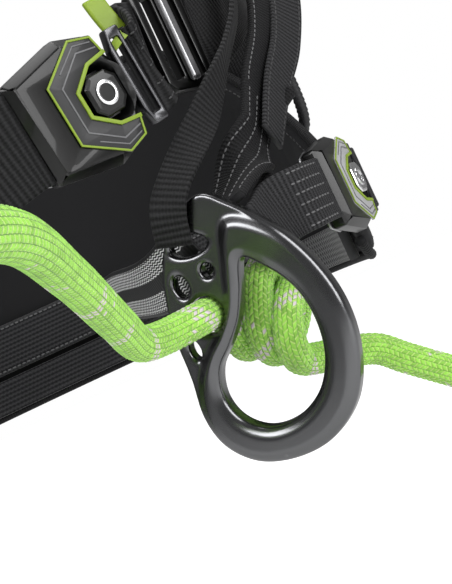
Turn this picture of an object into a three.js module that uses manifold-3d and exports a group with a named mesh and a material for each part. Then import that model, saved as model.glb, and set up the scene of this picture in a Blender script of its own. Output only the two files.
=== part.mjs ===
// A tree climbing saddle: waist pad and belt, buckles, and two forged hip plates with a rope bridge.
// Millimetres, +Z up, the wearer faces -Y and the wearer's left is +X. The origin is the waist's centre.
import * as THREE from 'three';
import Module from 'manifold-3d';
import { mergeVertices } from 'three/addons/utils/BufferGeometryUtils.js';

const wasm = await Module();
wasm.setup();

// ---- driving dimensions -------------------------------------------------------------------------
const GAP = 0.3;
const DEG = Math.PI / 180;
const PAD_A = 150; // inner half width of the waist pad's oval
const PAD_B = 125; // inner half depth of the same oval
const PAD_THICK = 10;
const PAD_END = 104; // degrees from the middle of the back to each end of the pad
const PAD_TOP = 85;
const PAD_HIP_TOP = -40;
const PAD_BOTTOM = -89;
const SHELL_THICK = 3; // the stiff back shell between the pad and the belt
const BELT_Z = 50;
const BELT_WIDTH = 44;
const BELT_THICK = 2.4;
const WEB_THICK = 2.2;
const ROPE_R = 6.5;
const PLATE_THICK = 7;
const RING_THICK = 11;
const PLATE_TURN = -20 * DEG; // the hip plate's turn about Z, so that it faces along the bridge rope
const ROPE_HOLE = new THREE.Vector3(86, -115.5, -77);
const HOLE_U = -4; // rope hole's centre in the plate's own outline

// ---- materials ----------------------------------------------------------------------------------
const paint = (color, roughness, metalness = 0) =>
  () => new THREE.MeshStandardMaterial({ color, roughness, metalness });
const LOOK = {
  padding: paint(0x17181a, 0.9),
  webbing: paint(0x101112, 0.8),
  reflective: paint(0xa9aaac, 0.7),
  ribbed: paint(0x202124, 0.9),
  forged: paint(0x3c3d40, 0.35, 1),
  buckle: paint(0x2b2c2e, 0.4, 1),
  steel: paint(0xb8babd, 0.25, 1),
  rope: paint(0x7fd23a, 0.85),
  plastic: paint(0x15161a, 0.6),
};

const saddle = new THREE.Group();

// Adds one named piece, already in the saddle's frame.
function addPiece(name, geometry, look) {
  const mesh = new THREE.Mesh(geometry, LOOK[look]());
  mesh.name = name;
  saddle.add(mesh);
  return mesh;
}

// The same piece on the wearer's right: x is turned over and the winding with it.
function mirrored(geometry) {
  const copy = new THREE.BufferGeometry();
  const source = geometry.getAttribute('position');
  const position = new Float32Array(source.array);
  for (let i = 0; i < position.length; i += 3) position[i] = -position[i];
  const count = geometry.index ? geometry.index.count : source.count;
  const index = [];
  for (let i = 0; i < count; i += 3) {
    const corner = (k) => (geometry.index ? geometry.index.getX(i + k) : i + k);
    index.push(corner(0), corner(2), corner(1));
  }
  copy.setAttribute('position', new THREE.BufferAttribute(position, 3));
  copy.setIndex(index);
  return copy;
}

function addPair(name, geometry, look) {
  addPiece(`left_${name}`, geometry, look);
  addPiece(`right_${name}`, mirrored(geometry), look);
}

// ---- joining and cutting ------------------------------------------------------------------------
function toSolid(geometry) {
  const bare = geometry.clone();
  bare.deleteAttribute('normal');
  bare.deleteAttribute('uv');
  const merged = mergeVertices(bare, 1e-3);
  return new wasm.Manifold(new wasm.Mesh({
    numProp: 3,
    vertProperties: new Float32Array(merged.getAttribute('position').array),
    triVerts: new Uint32Array(merged.index.array),
  }));
}

function toGeometry(solid) {
  const mesh = solid.getMesh();
  const geometry = new THREE.BufferGeometry();
  geometry.setAttribute('position', new THREE.BufferAttribute(new Float32Array(mesh.vertProperties), 3));
  geometry.setIndex(Array.from(mesh.triVerts));
  return geometry;
}

// ---- shape helpers ------------------------------------------------------------------------------
const vec = (x, y, z) => new THREE.Vector3(x, y, z);
const UP = vec(0, 0, 1);
const mirrorX = (p) => vec(-p.x, p.y, p.z);

// The unit vector nearest to 'up' that is square to 'along'.
function upright(along, up = UP) {
  return up.clone().addScaledVector(along, -up.dot(along)).normalize();
}

// A point on the waist oval, 'angle' degrees from the middle of the back, 'off' outside the inner face.
function onOval(angle, off, z) {
  const t = angle * DEG;
  return vec((PAD_A + off) * Math.sin(t), (PAD_B + off) * Math.cos(t), z);
}

// Closes a grid of rings (each the same number of points) into one solid with flat ends.
function skin(rings) {
  const n = rings[0].length;
  const position = rings.flat().flatMap((p) => [p.x, p.y, p.z]);
  const index = [];
  for (let i = 0; i + 1 < rings.length; i += 1) {
    for (let k = 0; k < n; k += 1) {
      const a = i * n + k;
      const b = i * n + ((k + 1) % n);
      index.push(a, b, b + n, a, b + n, a + n);
    }
  }
  const last = (rings.length - 1) * n;
  for (let k = 1; k + 1 < n; k += 1) {
    index.push(0, k + 1, k);
    index.push(last, last + k, last + k + 1);
  }
  const geometry = new THREE.BufferGeometry();
  geometry.setAttribute('position', new THREE.BufferAttribute(new Float32Array(position), 3));
  geometry.setIndex(index);
  return geometry;
}

// A flat strap along 'points'; 'sides' gives its width direction at even steps along the route.
function strap(points, width, thick, sides = [UP, UP], steps = 24) {
  const curve = new THREE.CatmullRomCurve3(points, false, 'centripetal');
  const rings = [];
  for (let i = 0; i <= steps; i += 1) {
    const t = i / steps;
    const along = curve.getTangentAt(t);
    const reach = t * (sides.length - 1);
    const k = Math.min(Math.floor(reach), sides.length - 2);
    const side = sides[k].clone().lerp(sides[k + 1], reach - k);
    side.addScaledVector(along, -side.dot(along)).normalize();
    const face = along.clone().cross(side);
    const middle = curve.getPointAt(t);
    const corner = (s, f) => middle.clone().addScaledVector(side, (s * width) / 2)
      .addScaledVector(face, (f * thick) / 2);
    rings.push([corner(-1, -1), corner(1, -1), corner(1, 1), corner(-1, 1)]);
  }
  return skin(rings);
}

// A band that lies on the waist oval from one angle to another.
function ovalBand(from, to, off, thick, zLow, zHigh, steps) {
  const rings = [];
  for (let i = 0; i <= steps; i += 1) {
    const angle = from + ((to - from) * i) / steps;
    rings.push([
      onOval(angle, off, zLow(angle)),
      onOval(angle, off + thick, zLow(angle)),
      onOval(angle, off + thick, zHigh(angle)),
      onOval(angle, off, zHigh(angle)),
    ]);
  }
  return skin(rings);
}

// An outline with straight sides, always anticlockwise.
function polygon(points) {
  const outline = points.map(([x, y]) => new THREE.Vector2(x, y));
  if (THREE.ShapeUtils.isClockWise(outline)) outline.reverse();
  return new THREE.Shape(outline);
}

function ovalHole(x, y, halfWidth, halfTall, turn = 0) {
  const path = new THREE.Path();
  path.absellipse(x, y, halfWidth, halfTall, 0, 2 * Math.PI, true, turn);
  return path;
}

// An outline raised to 'thick', its edges chamfered, its mid-plane on the outline's own plane.
function slab(shape, thick, bevel, curveSegments = 10) {
  const geometry = new THREE.ExtrudeGeometry(shape, {
    depth: thick - 2 * bevel,
    bevelEnabled: bevel > 0,
    bevelThickness: bevel,
    bevelSize: bevel,
    bevelOffset: -bevel,
    bevelSegments: 1,
    curveSegments,
    steps: 1,
  });
  geometry.translate(0, 0, -(thick - 2 * bevel) / 2);
  return geometry;
}

// Moves a slab so that its outline's x runs along 'right', its y along 'up', its face to right x up.
function place(geometry, origin, right, up) {
  const face = right.clone().cross(up);
  const basis = new THREE.Matrix4().makeBasis(right, up, face).setPosition(origin);
  return geometry.clone().applyMatrix4(basis);
}

function tube(points, radius, sides, steps) {
  const circle = new THREE.Shape();
  circle.absarc(0, 0, radius, 0, 2 * Math.PI, false);
  return new THREE.ExtrudeGeometry(circle, {
    steps,
    curveSegments: sides / 2,
    bevelEnabled: false,
    extrudePath: new THREE.CatmullRomCurve3(points, false, 'centripetal'),
  });
}

// ---- waist pad and the pieces on it -------------------------------------------------------------
function smooth(t) {
  const s = Math.min(1, Math.max(0, t));
  return s * s * (3 - 2 * s);
}

const PAD_RIM = 3; // how much the pad's edges are rounded through its thickness
const PAD_CORNER = 10; // how much its four corners are rounded, over the last degrees of its sweep
const PAD_CORNER_SWEEP = 8;
const PAD_FALL = [25, 100]; // degrees between which the top edge falls from the back to the hips

function padCorner(angle) {
  return PAD_CORNER * smooth((Math.abs(angle) - (PAD_END - PAD_CORNER_SWEEP)) / PAD_CORNER_SWEEP);
}

function padTop(angle) {
  const fall = smooth((Math.abs(angle) - PAD_FALL[0]) / (PAD_FALL[1] - PAD_FALL[0]));
  return PAD_TOP + (PAD_HIP_TOP - PAD_TOP) * fall - padCorner(angle);
}

function padBottom(angle) {
  return PAD_BOTTOM + padCorner(angle);
}

function waistPad() {
  const rings = [];
  const steps = 52;
  for (let i = 0; i <= steps; i += 1) {
    const angle = -PAD_END + (2 * PAD_END * i) / steps;
    const low = padBottom(angle);
    const high = padTop(angle);
    rings.push([
      onOval(angle, PAD_RIM, low), onOval(angle, PAD_THICK - PAD_RIM, low),
      onOval(angle, PAD_THICK, low + 2 * PAD_RIM), onOval(angle, PAD_THICK, high - 2 * PAD_RIM),
      onOval(angle, PAD_THICK - PAD_RIM, high), onOval(angle, PAD_RIM, high),
      onOval(angle, 0, high - 2 * PAD_RIM), onOval(angle, 0, low + 2 * PAD_RIM),
    ]);
  }
  return skin(rings);
}

const flat = (z) => () => z;

function addPad() {
  addPiece('waist_pad', waistPad(), 'padding');
  const roll = { thick: 5, low: -86, high: -66, end: 96 };
  const rollOff = -roll.thick - GAP;
  const rollBand = ovalBand(-roll.end, roll.end, rollOff, roll.thick, flat(roll.low), flat(roll.high), 44);
  addPiece('lower_pad_roll', rollBand, 'padding');
  const shell = { low: -56, belowPadTop: 16, end: 50 };
  const shellTop = (angle) => padTop(angle) - shell.belowPadTop;
  const shellOff = PAD_THICK + GAP;
  const shellBand = ovalBand(-shell.end, shell.end, shellOff, SHELL_THICK, flat(shell.low), shellTop, 28);
  addPiece('back_shell', shellBand, 'plastic');
  const sleeve = { thick: 4, low: -63, high: -34 };
  const sleeveBand = (from, to, steps) => ovalBand(from, to, -sleeve.thick - GAP, sleeve.thick,
    flat(sleeve.low), flat(sleeve.high), steps);
  addPiece('left_keeper_sleeve', sleeveBand(16, 52, 14), 'ribbed');
  addPiece('right_keeper_sleeve', sleeveBand(-52, -5, 18), 'ribbed');
}

// ---- waist belt: webbing, buckles and adjusters -------------------------------------------------
const BELT_OFF = PAD_THICK + SHELL_THICK + 2 * GAP;
const BELT_SIDE = 42; // degrees from the back where the belt webbing leaves the pad
const BUCKLE_AT = vec(71, -132, 10);
const BUCKLE_TURN = 36 * DEG;
const BUCKLE_RISE = 0.22; // how much the front of the belt rises towards the hips, for each unit along it
const ADJUSTER_AT = vec(112, -76, 33);
const ADJUSTER_TURN = 52 * DEG;
const ADJUSTER_HALF = 15;
const SHELL_LEFT = -22; // a buckle's two ends, in its own x at full size
const TONGUE_RIGHT = 34;
const LEAD = 5; // straight webbing next to a buckle
const SHELL_LOW = -6; // a buckle shell's back and face
const SHELL_HIGH = 4.6;
const INLAY_THICK = 1;

const flatDirection = (angle) => vec(Math.cos(angle), Math.sin(angle), 0);
const buckleAlong = flatDirection(BUCKLE_TURN).setZ(BUCKLE_RISE).normalize();
const buckleUp = upright(buckleAlong, vec(0, -0.2, 1)); // the top of the buckle leans forward
const adjusterAlong = flatDirection(ADJUSTER_TURN);

function hexagon(x, y, halfWide, halfTall, cut) {
  return polygon([
    [x - halfWide, y - halfTall + cut], [x - halfWide + cut, y - halfTall],
    [x + halfWide - cut, y - halfTall], [x + halfWide, y - halfTall + cut],
    [x + halfWide, y + halfTall - cut], [x + halfWide - cut, y + halfTall],
    [x - halfWide + cut, y + halfTall], [x - halfWide, y + halfTall - cut],
  ]);
}

// The buckle's shell: a faceted body with a window for the press catch and a window for the webbing.
function buckleShell(scale) {
  const shape = polygon([
    [SHELL_LEFT, -20], [SHELL_LEFT, 20], [6, 26], [19, 22], [25, 9], [25, -9], [19, -22], [6, -26],
  ].map(([x, y]) => [x * scale, y * scale]));
  const press = hexagon(12 * scale, 0, 8.5 * scale, 9 * scale, 4 * scale);
  shape.holes.push(press);
  const middle = (SHELL_LOW + SHELL_HIGH) / 2;
  return slab(shape, (SHELL_HIGH - SHELL_LOW) * scale, 2 * scale, 6).translate(0, 0, middle * scale);
}

// The chevron inlay on the shell's face, open on the press catch's side.
function buckleInlay(scale) {
  const shape = polygon([
    [19, 21], [9.5, 23.5], [-8, 12], [-8, -12], [9.5, -23.5], [19, -21],
    [21, -13.5], [11.5, -12.2], [2, -5], [2, 5], [11.5, 12.2], [21, 13.5],
  ].map(([x, y]) => [x * scale, y * scale]));
  return slab(shape, INLAY_THICK, 0, 4).translate(0, 0, SHELL_HIGH * scale + GAP + INLAY_THICK / 2);
}

// The plate under the shell that holds the webbing in.
function buckleBackPlate(scale) {
  const shape = polygon([
    [SHELL_LEFT, -18.5], [SHELL_LEFT, 18.5], [-10, 22.6], [-10, -22.6],
  ].map(([x, y]) => [x * scale, y * scale]));
  return slab(shape, INLAY_THICK, 0, 4).translate(0, 0, SHELL_LOW * scale - GAP - INLAY_THICK / 2);
}

function buckleCatch(scale) {
  const inset = 0.5;
  const shape = hexagon(12 * scale, 0, 8.5 * scale - inset - 0.4, 9 * scale - inset - 0.4, 4 * scale);
  return slab(shape, 11 * scale, 1.2 * scale, 6).translate(0, 0, 1.6 * scale);
}

// The metal end that the second webbing is sewn to, with its bar window.
function buckleTongue(scale) {
  const shape = polygon([
    [25.5, -12], [25.5, 12], [27.5, 20], [TONGUE_RIGHT, 20], [TONGUE_RIGHT, -20], [27.5, -20],
  ].map(([x, y]) => [x * scale, y * scale]));
  shape.holes.push(polygon([[28, -16], [28, 16], [32, 16], [32, -16]]
    .map(([x, y]) => [x * scale, y * scale])));
  return slab(shape, 5 * scale, 0.5 * scale, 4);
}

function addBuckle(name, at, along, up, scale) {
  const stand = (geometry) => place(geometry, at, along, up);
  addPair(`${name}_shell`, stand(buckleShell(scale)), 'buckle');
  addPair(`${name}_inlay`, stand(buckleInlay(scale)), 'plastic');
  addPair(`${name}_back_plate`, stand(buckleBackPlate(scale)), 'buckle');
  addPair(`${name}_catch`, stand(buckleCatch(scale)), 'steel');
  addPair(`${name}_tongue`, stand(buckleTongue(scale)), 'steel');
}

function adjusterFrame(halfWide, halfTall) {
  const shape = hexagon(0, 0, halfWide, halfTall, 4);
  shape.holes.push(hexagon(-halfWide / 2 + 0.5, 0, 3.2, halfTall - 5, 1));
  shape.holes.push(hexagon(halfWide / 2 - 0.5, 0, 3.2, halfTall - 5, 1));
  return slab(shape, 6, 1, 4);
}

function addAdjuster(name, at, along, halfWide, halfTall) {
  addPair(`${name}_frame`, place(adjusterFrame(halfWide, halfTall), at, along, UP), 'buckle');
  const bar = slab(hexagon(0, 0, 2.6, halfTall - 3, 1), 3, 0.5, 4);
  const lifted = at.clone().addScaledVector(along.clone().cross(UP), 3 + 1.5 + GAP);
  addPair(`${name}_bar`, place(bar, lifted, along, UP), 'steel');
}

// The two points that end a strap at 'at', running straight out along 'away' first.
function strapEnd(at, away) {
  return [at.clone().addScaledVector(away, LEAD), at.clone()];
}

function addBelt() {
  const low = BELT_Z - BELT_WIDTH / 2;
  const back = ovalBand(-BELT_SIDE, BELT_SIDE, BELT_OFF, BELT_THICK, flat(low), flat(low + BELT_WIDTH), 28);
  addPiece('waist_belt_back', back, 'webbing');

  const belt = BELT_WIDTH - 8;
  const onBelt = (angle, rise) => onOval(angle, BELT_OFF + BELT_THICK / 2, BELT_Z + rise);
  const adjusterOut = ADJUSTER_AT.clone().addScaledVector(adjusterAlong, ADJUSTER_HALF + 3 * GAP);
  const side = [onBelt(BELT_SIDE + 0.6, 0), onBelt(52, 0), onBelt(63, 2), vec(153, 47, 58),
    vec(150, 8, 62), vec(139, -34, 46), ...strapEnd(adjusterOut, adjusterAlong)];
  addPair('belt_side_strap', strap(side, belt, BELT_THICK), 'webbing');

  const inward = adjusterAlong.clone().negate();
  const adjusterIn = ADJUSTER_AT.clone().addScaledVector(inward, ADJUSTER_HALF + 3 * GAP);
  const tongueEnd = BUCKLE_AT.clone().addScaledVector(buckleAlong, TONGUE_RIGHT + GAP);
  const front = [...strapEnd(adjusterIn, inward).reverse(), ...strapEnd(tongueEnd, buckleAlong)];
  addPair('belt_front_strap', strap(front, belt, BELT_THICK, [UP, buckleUp], 14), 'webbing');

  const shellEnd = BUCKLE_AT.clone().addScaledVector(buckleAlong, SHELL_LEFT - GAP);
  const shellSide = strapEnd(shellEnd, buckleAlong.clone().negate());
  const middle = [...shellSide.map(mirrorX).reverse(), vec(-14, -157, -4), vec(14, -157, -4), ...shellSide];
  const middleSides = [mirrorX(buckleUp), UP, buckleUp];
  addPiece('belt_centre_strap', strap(middle, belt, BELT_THICK, middleSides, 18), 'webbing');

  addBuckle('waist_buckle', BUCKLE_AT, buckleAlong, buckleUp, 1);
  addAdjuster('belt_adjuster', ADJUSTER_AT, adjusterAlong, ADJUSTER_HALF, BELT_WIDTH / 2 + 2);
}

// ---- hip plates ---------------------------------------------------------------------------------
const plateRight = flatDirection(PLATE_TURN);

function onPlate(u, z, off = 0) {
  return ROPE_HOLE.clone().addScaledVector(plateRight, u).addScaledVector(UP, z)
    .addScaledVector(plateRight.clone().cross(UP), off);
}

// A smooth closed outline through the points, 'fine' steps between each two.
function splineShape(points, fine = 2) {
  const loop = new THREE.CatmullRomCurve3(points.map(([x, y]) => vec(x, y, 0)), true, 'centripetal');
  const count = points.length * fine;
  const outline = loop.getPoints(count).slice(0, count);
  return polygon(outline.map((p) => [p.x, p.y]));
}

const PLATE_OUTLINE = [
  [14, 41], [24, 33], [36, 18], [45, 0], [48.5, -18], [46, -36], [37, -53], [22, -63], [5, -65],
  [-10, -61], [-20, -51], [-23.5, -38], [-21.5, -22], [-20.5, -6], [-17.5, 9], [-12.5, 22], [-3, 34],
];
const RING_OPENING = [
  [19.5, 12.5], [27, 6], [34, -5], [36.5, -18], [34, -33], [26, -45], [13, -51.5], [0, -51],
  [-9, -44], [-12, -34], [-8.5, -23], [0, -15.5], [7.5, -8], [13, 1],
];
const RING_OUTSIDE = [
  [20, 28], [36, 18], [45, 0], [48.5, -18], [46, -36], [37, -53], [22, -63], [5, -65],
  [-10, -61], [-20, -51], [-22.5, -38], [-18, -24], [-9, -14.5], [-1.5, -9], [5.5, -1], [10, 10],
];

function hipPlate() {
  const flange = splineShape(PLATE_OUTLINE);
  flange.holes.push(splineShape(RING_OPENING));
  flange.holes.push(ovalHole(HOLE_U, -2, ROPE_R + 0.9, ROPE_R + 0.9));
  flange.holes.push(ovalHole(1.5, 25, 8, 4, -8 * DEG));
  flange.holes.push(ovalHole(-8.5, 12, 3, 4.4));
  flange.holes.push(ovalHole(4.5, 13.5, 2.6, 2.8));
  flange.holes.push(ovalHole(-14.5, -12.5, 2.2, 3.8));
  const ring = splineShape(RING_OUTSIDE);
  ring.holes.push(splineShape(RING_OPENING));
  const joined = toSolid(slab(flange, PLATE_THICK, 1, 3)).add(toSolid(slab(ring, RING_THICK, 2.5, 3)));
  const ropeWay = toSolid(new THREE.CylinderGeometry(ROPE_R + 0.9, ROPE_R + 0.9, 30, 20)
    .rotateX(Math.PI / 2).translate(HOLE_U, -2, 0));
  return toGeometry(joined.subtract(ropeWay));
}

function addPlates() {
  addPair('hip_plate', place(hipPlate(), ROPE_HOLE, plateRight, UP), 'forged');
}

// ---- straps that carry the plates ---------------------------------------------------------------
const HIP_BUCKLE_AT = vec(152.5, -59, -52.5);
const hipAlong = vec(0.36, 0.93, 0).normalize();
const HIP_SCALE = 0.86;
const PLATE_BACK = -PLATE_THICK / 2;
const SWING_ROOM = 5.7; // how far behind a plate its webbing ends, so that the plate can swing

function addHangers() {
  const narrow = [onPlate(-2, 27, 6), onPlate(4, 42, 8), vec(114, -93, -4), vec(132, -68, 20),
    vec(143, -56, 38), vec(148.5, -46, 62)];
  const narrowSides = [vec(1, -0.2, 0.2), vec(0.75, 0.6, 0), vec(0.1, 1, 0), vec(0, 1, 0)];
  addPair('narrow_hanger_strap', strap(narrow, 14, WEB_THICK, narrowSides, 22), 'webbing');
  const wide = [onPlate(16.5, 32, PLATE_BACK - SWING_ROOM), vec(127, -77, -20), vec(139, -62, 2),
    vec(151, -48, 20), vec(160, -37, 42), vec(163, -28, 66)];
  const wideSides = [vec(0.9, -0.4, 0.3), vec(0.35, 0.9, 0), vec(0.6, 0.8, 0), vec(0.8, 0.6, 0)];
  addPair('wide_hanger_strap', strap(wide, 24, WEB_THICK + 1, wideSides, 22), 'webbing');
}

function addLoadWebbing() {
  const slotBack = onPlate(-1, 25, PLATE_BACK - SWING_ROOM);
  const sleeveMiddle = -4 / 2 - GAP;
  const leftArm = [slotBack, vec(70, -96, -59), vec(42, -40, -56), vec(18, 50, -52), vec(4, 106, -49),
    onOval(-4.4, sleeveMiddle, -48.5)];
  addPiece('left_load_webbing', strap(leftArm, 25, WEB_THICK, [vec(-0.2, 0, 1), UP], 26), 'reflective');
  const rightArm = [mirrorX(slotBack), vec(-103, -80, -50), vec(-132, -26, -48), vec(-137, 30, -48),
    onOval(-52.6, sleeveMiddle, -48.5)];
  addPiece('right_load_webbing', strap(rightArm, 25, WEB_THICK, [vec(0.2, 0, 1), UP], 22), 'reflective');
}

function addHipStraps() {
  const forward = hipAlong.clone().negate();
  const shellEnd = HIP_BUCKLE_AT.clone().addScaledVector(hipAlong, SHELL_LEFT * HIP_SCALE - GAP);
  const hipStrap = [onPlate(28, 17, PLATE_BACK - 8), vec(124, -102, -54), vec(136, -95, -53),
    ...strapEnd(shellEnd, forward)];
  addPair('hip_strap', strap(hipStrap, 27, 3, [UP, UP], 16), 'webbing');
  addBuckle('hip_buckle', HIP_BUCKLE_AT, hipAlong, UP, HIP_SCALE);
  const tongueEnd = HIP_BUCKLE_AT.clone().addScaledVector(hipAlong, TONGUE_RIGHT * HIP_SCALE + GAP);
  const tab = [...strapEnd(tongueEnd, hipAlong).reverse(), onOval(84, PAD_THICK + 5, -53),
    onOval(70, PAD_THICK + 3, -53)];
  addPair('hip_wing_tab', strap(tab, 30, 3, [UP, UP], 14), 'webbing');
}

// ---- rope bridge --------------------------------------------------------------------------------
const BRIDGE_ARC_Y = -278;
const BRIDGE_ARC_R = 66;
const BRIDGE_ARC_Z = -41;
const KNOT_AT = onPlate(8, -16, -30);
const TAIL_END = vec(189, -75, -168);
const TAIL_WAY = TAIL_END.clone().sub(vec(146, -78, -131)).normalize();
const TAIL_SLEEVE_LONG = 16;

function bridgeRoute() {
  const half = [
    onPlate(HOLE_U + 0.4, -3, -9), onPlate(HOLE_U, -2, 0), onPlate(HOLE_U - 0.3, -2, 9),
    vec(66, -133, -79.5), vec(59.5, -146, -78), vec(60, -173, -68), vec(63, -223, -51),
    vec(BRIDGE_ARC_R, BRIDGE_ARC_Y, BRIDGE_ARC_Z),
  ];
  const arc = [];
  for (let turn = 30; turn < 180; turn += 30) {
    const at = turn * DEG;
    arc.push(vec(BRIDGE_ARC_R * Math.cos(at), BRIDGE_ARC_Y - BRIDGE_ARC_R * Math.sin(at), BRIDGE_ARC_Z));
  }
  return [...half, ...arc, ...half.map(mirrorX).reverse()];
}

// The knot's outer shape: a lathe barrel with its axis along the plate's depth.
function knotBody() {
  const profile = [[0, -17], [11, -16.5], [18, -10], [20, 0], [18, 10], [11, 16.5], [0, 17]];
  const barrel = new THREE.LatheGeometry(profile.map(([x, y]) => new THREE.Vector2(x, y)), 14);
  const back = plateRight.clone().cross(UP);
  const spin = new THREE.Quaternion().setFromUnitVectors(vec(0, 1, 0), back);
  return barrel.scale(1, 1, 1.12).applyQuaternion(spin).translate(KNOT_AT.x, KNOT_AT.y, KNOT_AT.z);
}

function addBridge() {
  addPiece('rope_bridge', tube(bridgeRoute(), ROPE_R, 10, 70), 'rope');
  addPair('stopper_knot', knotBody(), 'rope');
  const tail = [onPlate(24, -33, -42), vec(136, -79, -122), vec(146, -78, -131), TAIL_END];
  addPair('bridge_tail', tube(tail, ROPE_R, 10, 14), 'rope');
  const sleeveAt = (distance) => TAIL_END.clone().addScaledVector(TAIL_WAY, distance);
  const sleeve = tube([sleeveAt(GAP), sleeveAt(TAIL_SLEEVE_LONG)], ROPE_R + 0.9, 12, 1);
  addPair('tail_end_sleeve', sleeve, 'plastic');
}

// The ring that runs on the bridge rope, as a flat forged annulus standing across the rope.
function addBridgeRing() {
  const ring = new THREE.Shape();
  ring.absarc(0, 0, 25, 0, 2 * Math.PI, false);
  ring.holes.push(ovalHole(0, 0, 16, 16));
  const geometry = slab(ring, 9, 2, 14);
  const at = vec(0, BRIDGE_ARC_Y - BRIDGE_ARC_R, BRIDGE_ARC_Z - 9);
  addPiece('bridge_ring', place(geometry, at, vec(0, 1, 0), UP), 'forged');
}

// ---- gear loops ---------------------------------------------------------------------------------
function gearLoop(from, to, drop) {
  const off = BELT_OFF + BELT_THICK + 4.4;
  const top = BELT_Z - 12;
  const mid = (from + to) / 2;
  const points = [
    onOval(from, off, top), onOval(from + 1, off + 5, top - drop * 0.5), onOval(mid - 5, off + 9, top - drop),
    onOval(mid + 5, off + 9, top - drop), onOval(to - 1, off + 5, top - drop * 0.5), onOval(to, off, top),
  ];
  return tube(points, 3.4, 8, 22);
}

function addGearLoops() {
  addPair('rear_gear_loop', gearLoop(12, 38, 52), 'plastic');
  addPair('side_gear_loop', gearLoop(44, 66, 46), 'plastic');
}

addPad();
addBelt();
addPlates();
addHangers();
addLoadWebbing();
addHipStraps();
addBridge();
addBridgeRing();
addGearLoops();

export default saddle;
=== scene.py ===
"""The looks of a tree climbing saddle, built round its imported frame: webbing, padding, forgings and rope."""
import math

import bmesh
import bpy
import numpy as np
from mathutils import Matrix, Vector
from mathutils.bvhtree import BVHTree
from mathutils.geometry import tessellate_polygon


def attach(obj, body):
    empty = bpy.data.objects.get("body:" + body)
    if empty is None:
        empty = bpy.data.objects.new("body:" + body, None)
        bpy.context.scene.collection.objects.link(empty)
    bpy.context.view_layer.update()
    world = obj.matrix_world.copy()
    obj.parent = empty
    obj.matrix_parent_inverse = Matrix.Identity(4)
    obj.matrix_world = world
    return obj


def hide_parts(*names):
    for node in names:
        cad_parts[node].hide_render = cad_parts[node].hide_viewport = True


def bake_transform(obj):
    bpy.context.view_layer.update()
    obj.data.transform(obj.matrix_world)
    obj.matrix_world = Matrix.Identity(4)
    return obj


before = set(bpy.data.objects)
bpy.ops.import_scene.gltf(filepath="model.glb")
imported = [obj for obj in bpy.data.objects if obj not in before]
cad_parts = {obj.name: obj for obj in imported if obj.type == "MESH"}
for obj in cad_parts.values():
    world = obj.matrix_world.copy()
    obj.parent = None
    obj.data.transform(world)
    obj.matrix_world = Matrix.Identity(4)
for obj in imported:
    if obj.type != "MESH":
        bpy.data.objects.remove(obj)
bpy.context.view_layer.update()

MM = 0.001
UP = Vector((0, 0, 1))
SIDES = ("left", "right")
BOTH_FACES = (-1, 1)

# ---- the frame's main sizes, in millimetres ----
PAD_A, PAD_B = 150, 125
PAD_THICK = 10
PAD_END = 104
PAD_TOP, PAD_HIP_TOP, PAD_BOTTOM = 85, -40, -89
BELT_Z = 50
BELT_OFF = 13.6
BELT_SIDE = 42
ROPE_R = 6.5
PLATE_TURN = math.radians(-20)
ROPE_HOLE = Vector((86, -115.5, -77))
HOLE_U = -4
HOLE_Z = -2
PLATE_BACK = -3.5
GAP = 0.3


def turned(angle):
    """The level unit vector at an angle from +X."""
    return Vector((math.cos(angle), math.sin(angle), 0))


PLATE_RIGHT = turned(PLATE_TURN)
PLATE_FACE = PLATE_RIGHT.cross(UP)


def on_plate(u, z, off=0):
    """A point on the left hip plate: u across, z up, and off out of its face."""
    return ROPE_HOLE + PLATE_RIGHT * u + UP * z + PLATE_FACE * off


def on_oval(angle, off, z):
    """A point off outside the pad's inner face, at degrees from the back towards the left hip."""
    t = math.radians(angle)
    return Vector(((PAD_A + off) * math.sin(t), (PAD_B + off) * math.cos(t), z))


def smooth(t):
    """An even rise from 0 to 1."""
    s = min(1, max(0, t))
    return s * s * (3 - 2 * s)


def mirror(p):
    """The same place on the other side of the wearer."""
    return Vector((-p.x, p.y, p.z))


def for_side(side, p):
    """A left-side point, or its mirror image on the right."""
    return p if side == "left" else mirror(p)


def upright(along, up=UP):
    """The unit vector nearest to up that is square to along."""
    up = Vector(up)
    return (up - along * up.dot(along)).normalized()


# ---- camera, light and floor ----
CAMERA_AT = Vector((125.6, -498.5, -74))
CAMERA_AZIMUTH = math.radians(5)
CAMERA_ROLL = math.radians(25)
CAMERA_VIEW = math.radians(32.5248)
# each light's name, place, target, size and watts, in metres
LIGHTS = (
    ("key", (-0.55, -1.1, 0.75), (0.09, -0.11, -0.07), (0.9, 0.5), 14),
    ("fill", (1.0, -0.75, 0.35), (0.09, -0.11, -0.07), (0.55, 1.0), 12),
    ("top", (0.2, 0.1, 1.2), (0.09, -0.05, 0), (0.8, 0.8), 8),
)
WORLD_SEEN, WORLD_LIGHT = 1.0, 0.24
FLOOR_Z, FLOOR_SIZE = -0.3415, 12
FLOOR_GREY = 0.93
FLOOR_SEEN, FLOOR_GLOW = 0.8, 0.1


def add_camera():
    """The camera in front of the left hip, rolled so that level things rise to the right."""
    across = turned(CAMERA_AZIMUTH)
    back = -Vector((-math.sin(CAMERA_AZIMUTH), math.cos(CAMERA_AZIMUTH), 0))
    right = across * math.cos(CAMERA_ROLL) - UP * math.sin(CAMERA_ROLL)
    top = across * math.sin(CAMERA_ROLL) + UP * math.cos(CAMERA_ROLL)
    data = bpy.data.cameras.new("camera")
    data.sensor_fit = "VERTICAL"
    data.angle = CAMERA_VIEW
    data.clip_start = 0.01
    camera = bpy.data.objects.new("camera", data)
    bpy.context.scene.collection.objects.link(camera)
    basis = Matrix((right, top, back)).transposed().to_4x4()
    basis.translation = CAMERA_AT * MM
    camera.matrix_world = basis
    bpy.context.scene.camera = camera


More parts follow.
